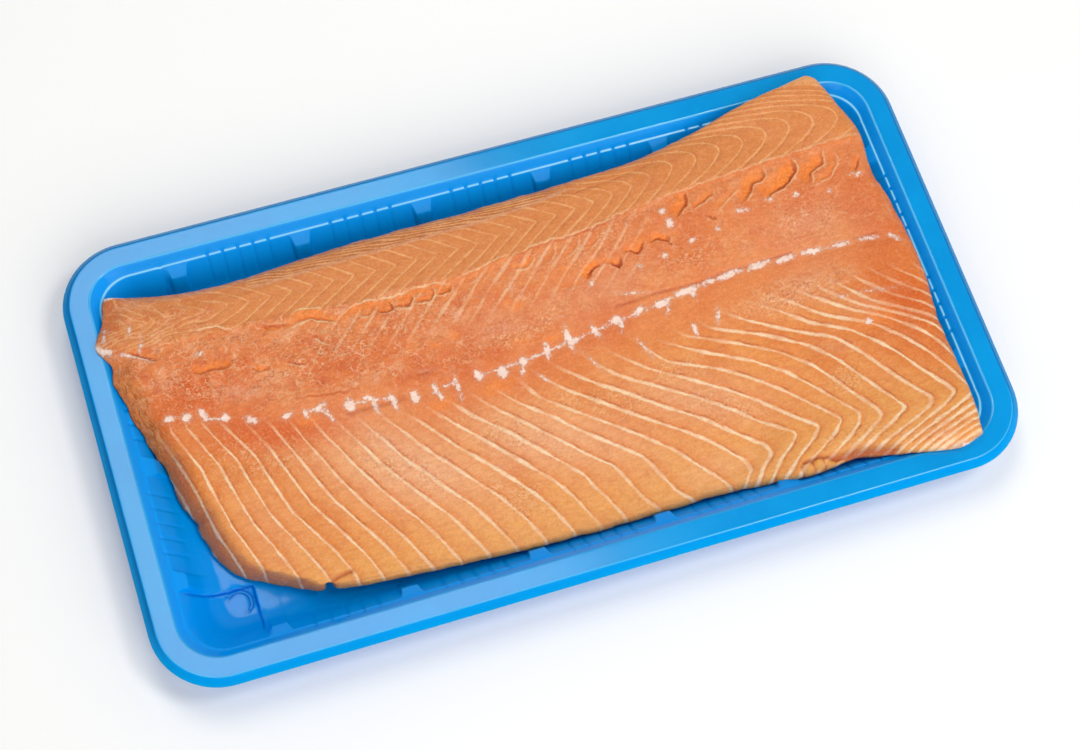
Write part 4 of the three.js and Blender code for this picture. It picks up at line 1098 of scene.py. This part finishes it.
def seam_lines(n, phase, across, strength, half_width, wobble):
    """Masks of the pale seams at whole numbers of phase and of the darker thread on their right side."""
    moved = n.plus(phase, n.swing(wobble, 7, 3))
    part = n.minus(n.math("FRACT", n.plus(moved, 0.5)), 0.5)
    distance = n.times(part, across)
    width = n.times(n.patches(9, 2, 0.3, 0.7, 0.6, 1.4), half_width)
    ragged = n.swing(0.9, 1.1, 3)
    away = n.plus(n.math("ABSOLUTE", distance), ragged)
    line = n.ramp(away, n.times(width, 0.35), n.times(width, 1.45), 1.0, 0.0)
    line = n.times(line, strength, n.patches(10, 3, 0.3, 0.62, 0.4, 1.0))
    to_thread = n.math("ABSOLUTE", n.minus(distance, n.plus(width, 0.55)))
    thread = n.ramp(n.plus(to_thread, ragged), 0.0, 0.75, 1.0, 0.0)
    return line, n.times(thread, n.patches(8, 3, 0.4, 0.65), strength), part


def flesh_material():
    n = Nodes("raw_flesh_wet")
    on_back, torn, strip = n.field("on_back"), n.field("torn"), n.field("strip")
    cut, rough_zone, lines = n.field("cut"), n.field("rough"), n.field("line")

    # Broad zones.
    colour = n.blend(*MIDDLE, n.patches(30, 3, 0.35, 0.65))
    colour = n.blend(colour, n.blend(*LOIN, n.patches(14, 3, 0.35, 0.65)), n.field("under"))
    colour = n.blend(colour, BELLY, n.field("belly"))
    # Paler flesh, lightened further by a painted wet sheen.
    colour = n.blend(colour, PALE_SHEEN, n.field("pale_sheen"), 0.75)
    colour = n.blend(colour, RICH, n.field("richer"), 0.85)
    colour = n.blend(colour, BACK, on_back)
    colour = n.blend(colour, RICH, n.field("end_face"), 0.5)
    colour = n.blend(colour, STRIP, strip, 0.4)
    colour = n.blend(colour, TORN, torn, 0.6)
    colour = n.blend(colour, RED_PATCH, n.patches(9, 4, 0.48, 0.72), n.ramp(rough_zone, 0, 1, 0.2, 0.4))

    # Seams, with a deeper band on one side.
    half_width = n.ramp(n.field("thin"), 0, 1, 0.75, 0.52)
    line, thread, part = seam_lines(n, n.field("seam_phase"), n.field("seam_mm"), lines, half_width, 0.09)
    back_line, back_thread, _ = seam_lines(n, n.field("back_phase"), n.field("back_mm"), on_back, 0.45, 0.08)
    colour = n.blend(colour, BAND_DEEP, n.band(part, -0.1, 0.08, 0.05, 0.5), lines, 0.5)
    colour = n.blend(colour, THREAD, thread, 0.6)
    colour = n.blend(colour, SEAM, line, 0.95)
    colour = n.blend(colour, THREAD, back_thread, n.ramp(strip, 0, 1, 0.3, 0.8))
    colour = n.blend(colour, BACK_SEAM, back_line, 0.75)

    # Blotches, curls and furrows of the rough middle.
    blotch = n.noise(8, 3)
    colour = n.blend(colour, BLOTCH_PALE, n.ramp(blotch, 0.52, 0.66, 0.0, 0.45), rough_zone)
    colour = n.blend(colour, RED_PATCH, n.ramp(blotch, 0.46, 0.36, 0.0, 0.5), rough_zone)
    squiggle = n.times(n.curls(8.5, 2.5, 0.5, 0.004, 0.022), rough_zone)
    curl = n.times(n.curls(15, 3, 0.5, 0.0, 0.02, rough=0.65, stretch=(1, 1.4, 1)), rough_zone)
    furrow = n.times(n.curls(11, 3, 0.47, 0.0, 0.02, stretch=(1, 1.6, 1)), rough_zone)
    colour = n.blend(colour, PALE_VEIN, squiggle, n.patches(6, 2, 0.4, 0.65, 0.15, 0.85))
    colour = n.blend(colour, BLOTCH_PALE, curl, n.patches(9, 2, 0.4, 0.6, 0.1, 0.9))
    colour = n.blend(colour, THREAD, furrow, n.patches(8, 2, 0.4, 0.65, 0.0, 0.6))

    # Parted flakes and creases, with painted shade at the flakes' feet and in the creases.
    colour = n.blend(colour, HOLLOW, n.field("orange"), n.patches(3, 2, 0.3, 0.7, 0.65, 1.0))
    edge = n.plus(n.field("edge_mm"), n.swing(1.2, 1.2, 2))
    rim = n.times(n.band(edge, -1.5, -0.7, -0.35, -0.05), n.field("edge_rim"))
    rim = n.times(rim, n.patches(4, 2, 0.3, 0.6, 0.5, 1.0))
    colour = n.blend(colour, RIM, rim, 0.8)
    colour = n.blend(colour, CREVICE_SHADE, n.band(edge, -0.35, 0.1, 0.6, 1.7), n.field("edge_shade"), 0.95)
    colour = n.blend(colour, CREVICE_SHADE, n.field("dark"), 0.75)

    # Films with some painted wet sheen, lobes, the cut end and the white marks.
    patchy = n.ramp(n.noise(1.6, 4, rough=0.75), 0.4, 0.62, 0.25, 1.0)
    colour = n.blend(colour, FILM_AND_SHEEN, n.field("film_and_sheen"), patchy, 0.85)
    colour = n.blend(colour, LOBE, n.ramp(n.field("lobe"), 0.25, 0.7), 0.8)
    along_cut = n.add("ShaderNodeCombineXYZ", X=n.field("from_cut"), Y=n.times(n.field("along_cut"), 0.14))
    streak = n.noise(0.9, 3, where=along_cut.outputs[0], rough=0.65)
    cut_colour = n.blend(*CUT, n.ramp(streak, 0.36, 0.62))
    colour = n.blend(colour, cut_colour, cut, n.patches(7, 3, 0.35, 0.6, 0.45, 0.8))
    mark = n.field("mark")
    wander = n.times(n.minus(n.noise(1.7, 5, rough=0.7), 0.47), 5.5)
    white = n.ramp(n.plus(mark, wander), -0.3, 0.7, 1.0, 0.0)
    colour = n.blend(colour, FILM_AND_SHEEN, n.ramp(mark, 2.0, -0.3, 0.0, 0.14))
    colour = n.blend(colour, WHITE, white, 0.9)

    # Fine grain and fibres everywhere, with a painted pale sparkle in the grainy patches.
    grain = n.noise(1.2, 4, rough=0.75)
    grain_sparkle = n.times(n.field("grain_sparkle"), n.patches(7, 2, 0.38, 0.6, 0.2, 1.0))
    fibre = n.noise(1.6, 3, rough=0.65, stretch=(0.35, 1.0, 0.5))
    colour = n.blend(colour, PALE_GRAIN_SPARKLE, n.ramp(grain, 0.48, 0.66), n.ramp(grain_sparkle, 0, 1, 0.16, 0.62))
    colour = n.blend(colour, THREAD, n.ramp(grain, 0.48, 0.32), n.ramp(grain_sparkle, 0, 1, 0.18, 0.5))
    colour = n.blend(colour, THREAD, n.ramp(fibre, 0.62, 0.36, 0.0, 0.45), 0.35)

    bumps = n.plus(
        n.times(grain, n.ramp(grain_sparkle, 0, 1, 0.28, 0.55)), n.times(fibre, 0.14),
        n.times(n.noise(4.5, 3), n.ramp(rough_zone, 0, 1, 0.35, 1.1)), n.times(squiggle, 0.2),
        n.times(furrow, -0.12), n.times(line, 0.12), n.times(rim, 0.35), n.times(white, 0.25))
    bump = n.add("ShaderNodeBump", Height=bumps, Distance=MM, Strength=0.8)
    return n.finish(n.add(
        "ShaderNodeBsdfPrincipled", Base_Color=colour, Roughness=n.patches(5, 3, 0.3, 0.7, 0.24, 0.44),
        IOR=1.34, Normal=bump.outputs[0], Specular_IOR_Level=n.ramp(cut, 0, 1, 0.5, 0.15),
        Subsurface_Weight=0.12, Subsurface_Scale=0.003, Subsurface_Radius=(1.0, 0.45, 0.2)))


def floor_material():
    n = Nodes("pale_floor")
    colour = n.blend(*FLOOR, n.noise(400, 2))
    return n.finish(n.add("ShaderNodeBsdfPrincipled", Base_Color=colour, Roughness=0.7))


# ---- Stage, light and camera ----
def add_floor():
    half = 4000
    points = [(-half, -half, 0), (half, -half, 0), (half, half, 0), (-half, half, 0)]
    made = write_mesh("floor", points, [(0, 1, 2, 3)])
    made.data.materials.append(floor_material())


def add_area_light(name, location, target, size, power):
    data = bpy.data.lights.new(name, "AREA")
    data.shape = "RECTANGLE"
    data.size, data.size_y = size
    data.energy = power
    made = bpy.data.objects.new(name, data)
    made.location = location
    made.rotation_mode = "QUATERNION"
    made.rotation_quaternion = (Vector(target) - Vector(location)).to_track_quat("-Z", "Y")
    bpy.context.collection.objects.link(made)


def add_room():
    """A soft white room, darker overhead."""
    world = bpy.data.worlds.new("studio")
    world.use_nodes = True
    nodes, links = world.node_tree.nodes, world.node_tree.links
    direction = nodes.new("ShaderNodeTexCoord")
    split = nodes.new("ShaderNodeSeparateXYZ")
    fade = nodes.new("ShaderNodeMapRange")
    fade.interpolation_type = "SMOOTHSTEP"
    ends = {"From Min": 0.5, "From Max": 0.9, "To Min": ROOM_LIGHT, "To Max": CEILING_LIGHT}
    for key, value in ends.items():
        fade.inputs[key].default_value = value
    links.new(direction.outputs["Generated"], split.inputs[0])
    links.new(split.outputs["Z"], fade.inputs["Value"])
    links.new(fade.outputs[0], nodes["Background"].inputs["Strength"])
    nodes["Background"].inputs["Color"].default_value = ROOM_COLOUR
    bpy.context.scene.world = world


def add_camera():
    forward = Vector(CAMERA_FORWARD).normalized()
    right = Vector(CAMERA_RIGHT)
    right = (right - forward * right.dot(forward)).normalized()
    up = right.cross(forward)
    data = bpy.data.cameras.new("camera")
    data.lens, data.sensor_width = FOCAL_LENGTH, 36
    data.clip_start, data.clip_end = 0.01, 50
    camera = bpy.data.objects.new("camera", data)
    turn = Matrix((right, up, -forward)).transposed().to_4x4()
    camera.matrix_world = Matrix.Translation(CAMERA_PLACE) @ turn
    bpy.context.collection.objects.link(camera)
    bpy.context.scene.camera = camera


add_camera()
add_floor()
add_room()
for light in LIGHTS:
    add_area_light(*light)
bpy.context.scene.view_settings.view_transform = "Standard"

tray = build_tray()
tray.data.materials.append(tray_material())
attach(tray, "root")
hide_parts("tray")

fillet = build_fillet()
fillet.data.materials.append(flesh_material())
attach(fillet, "root")
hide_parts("fillet")
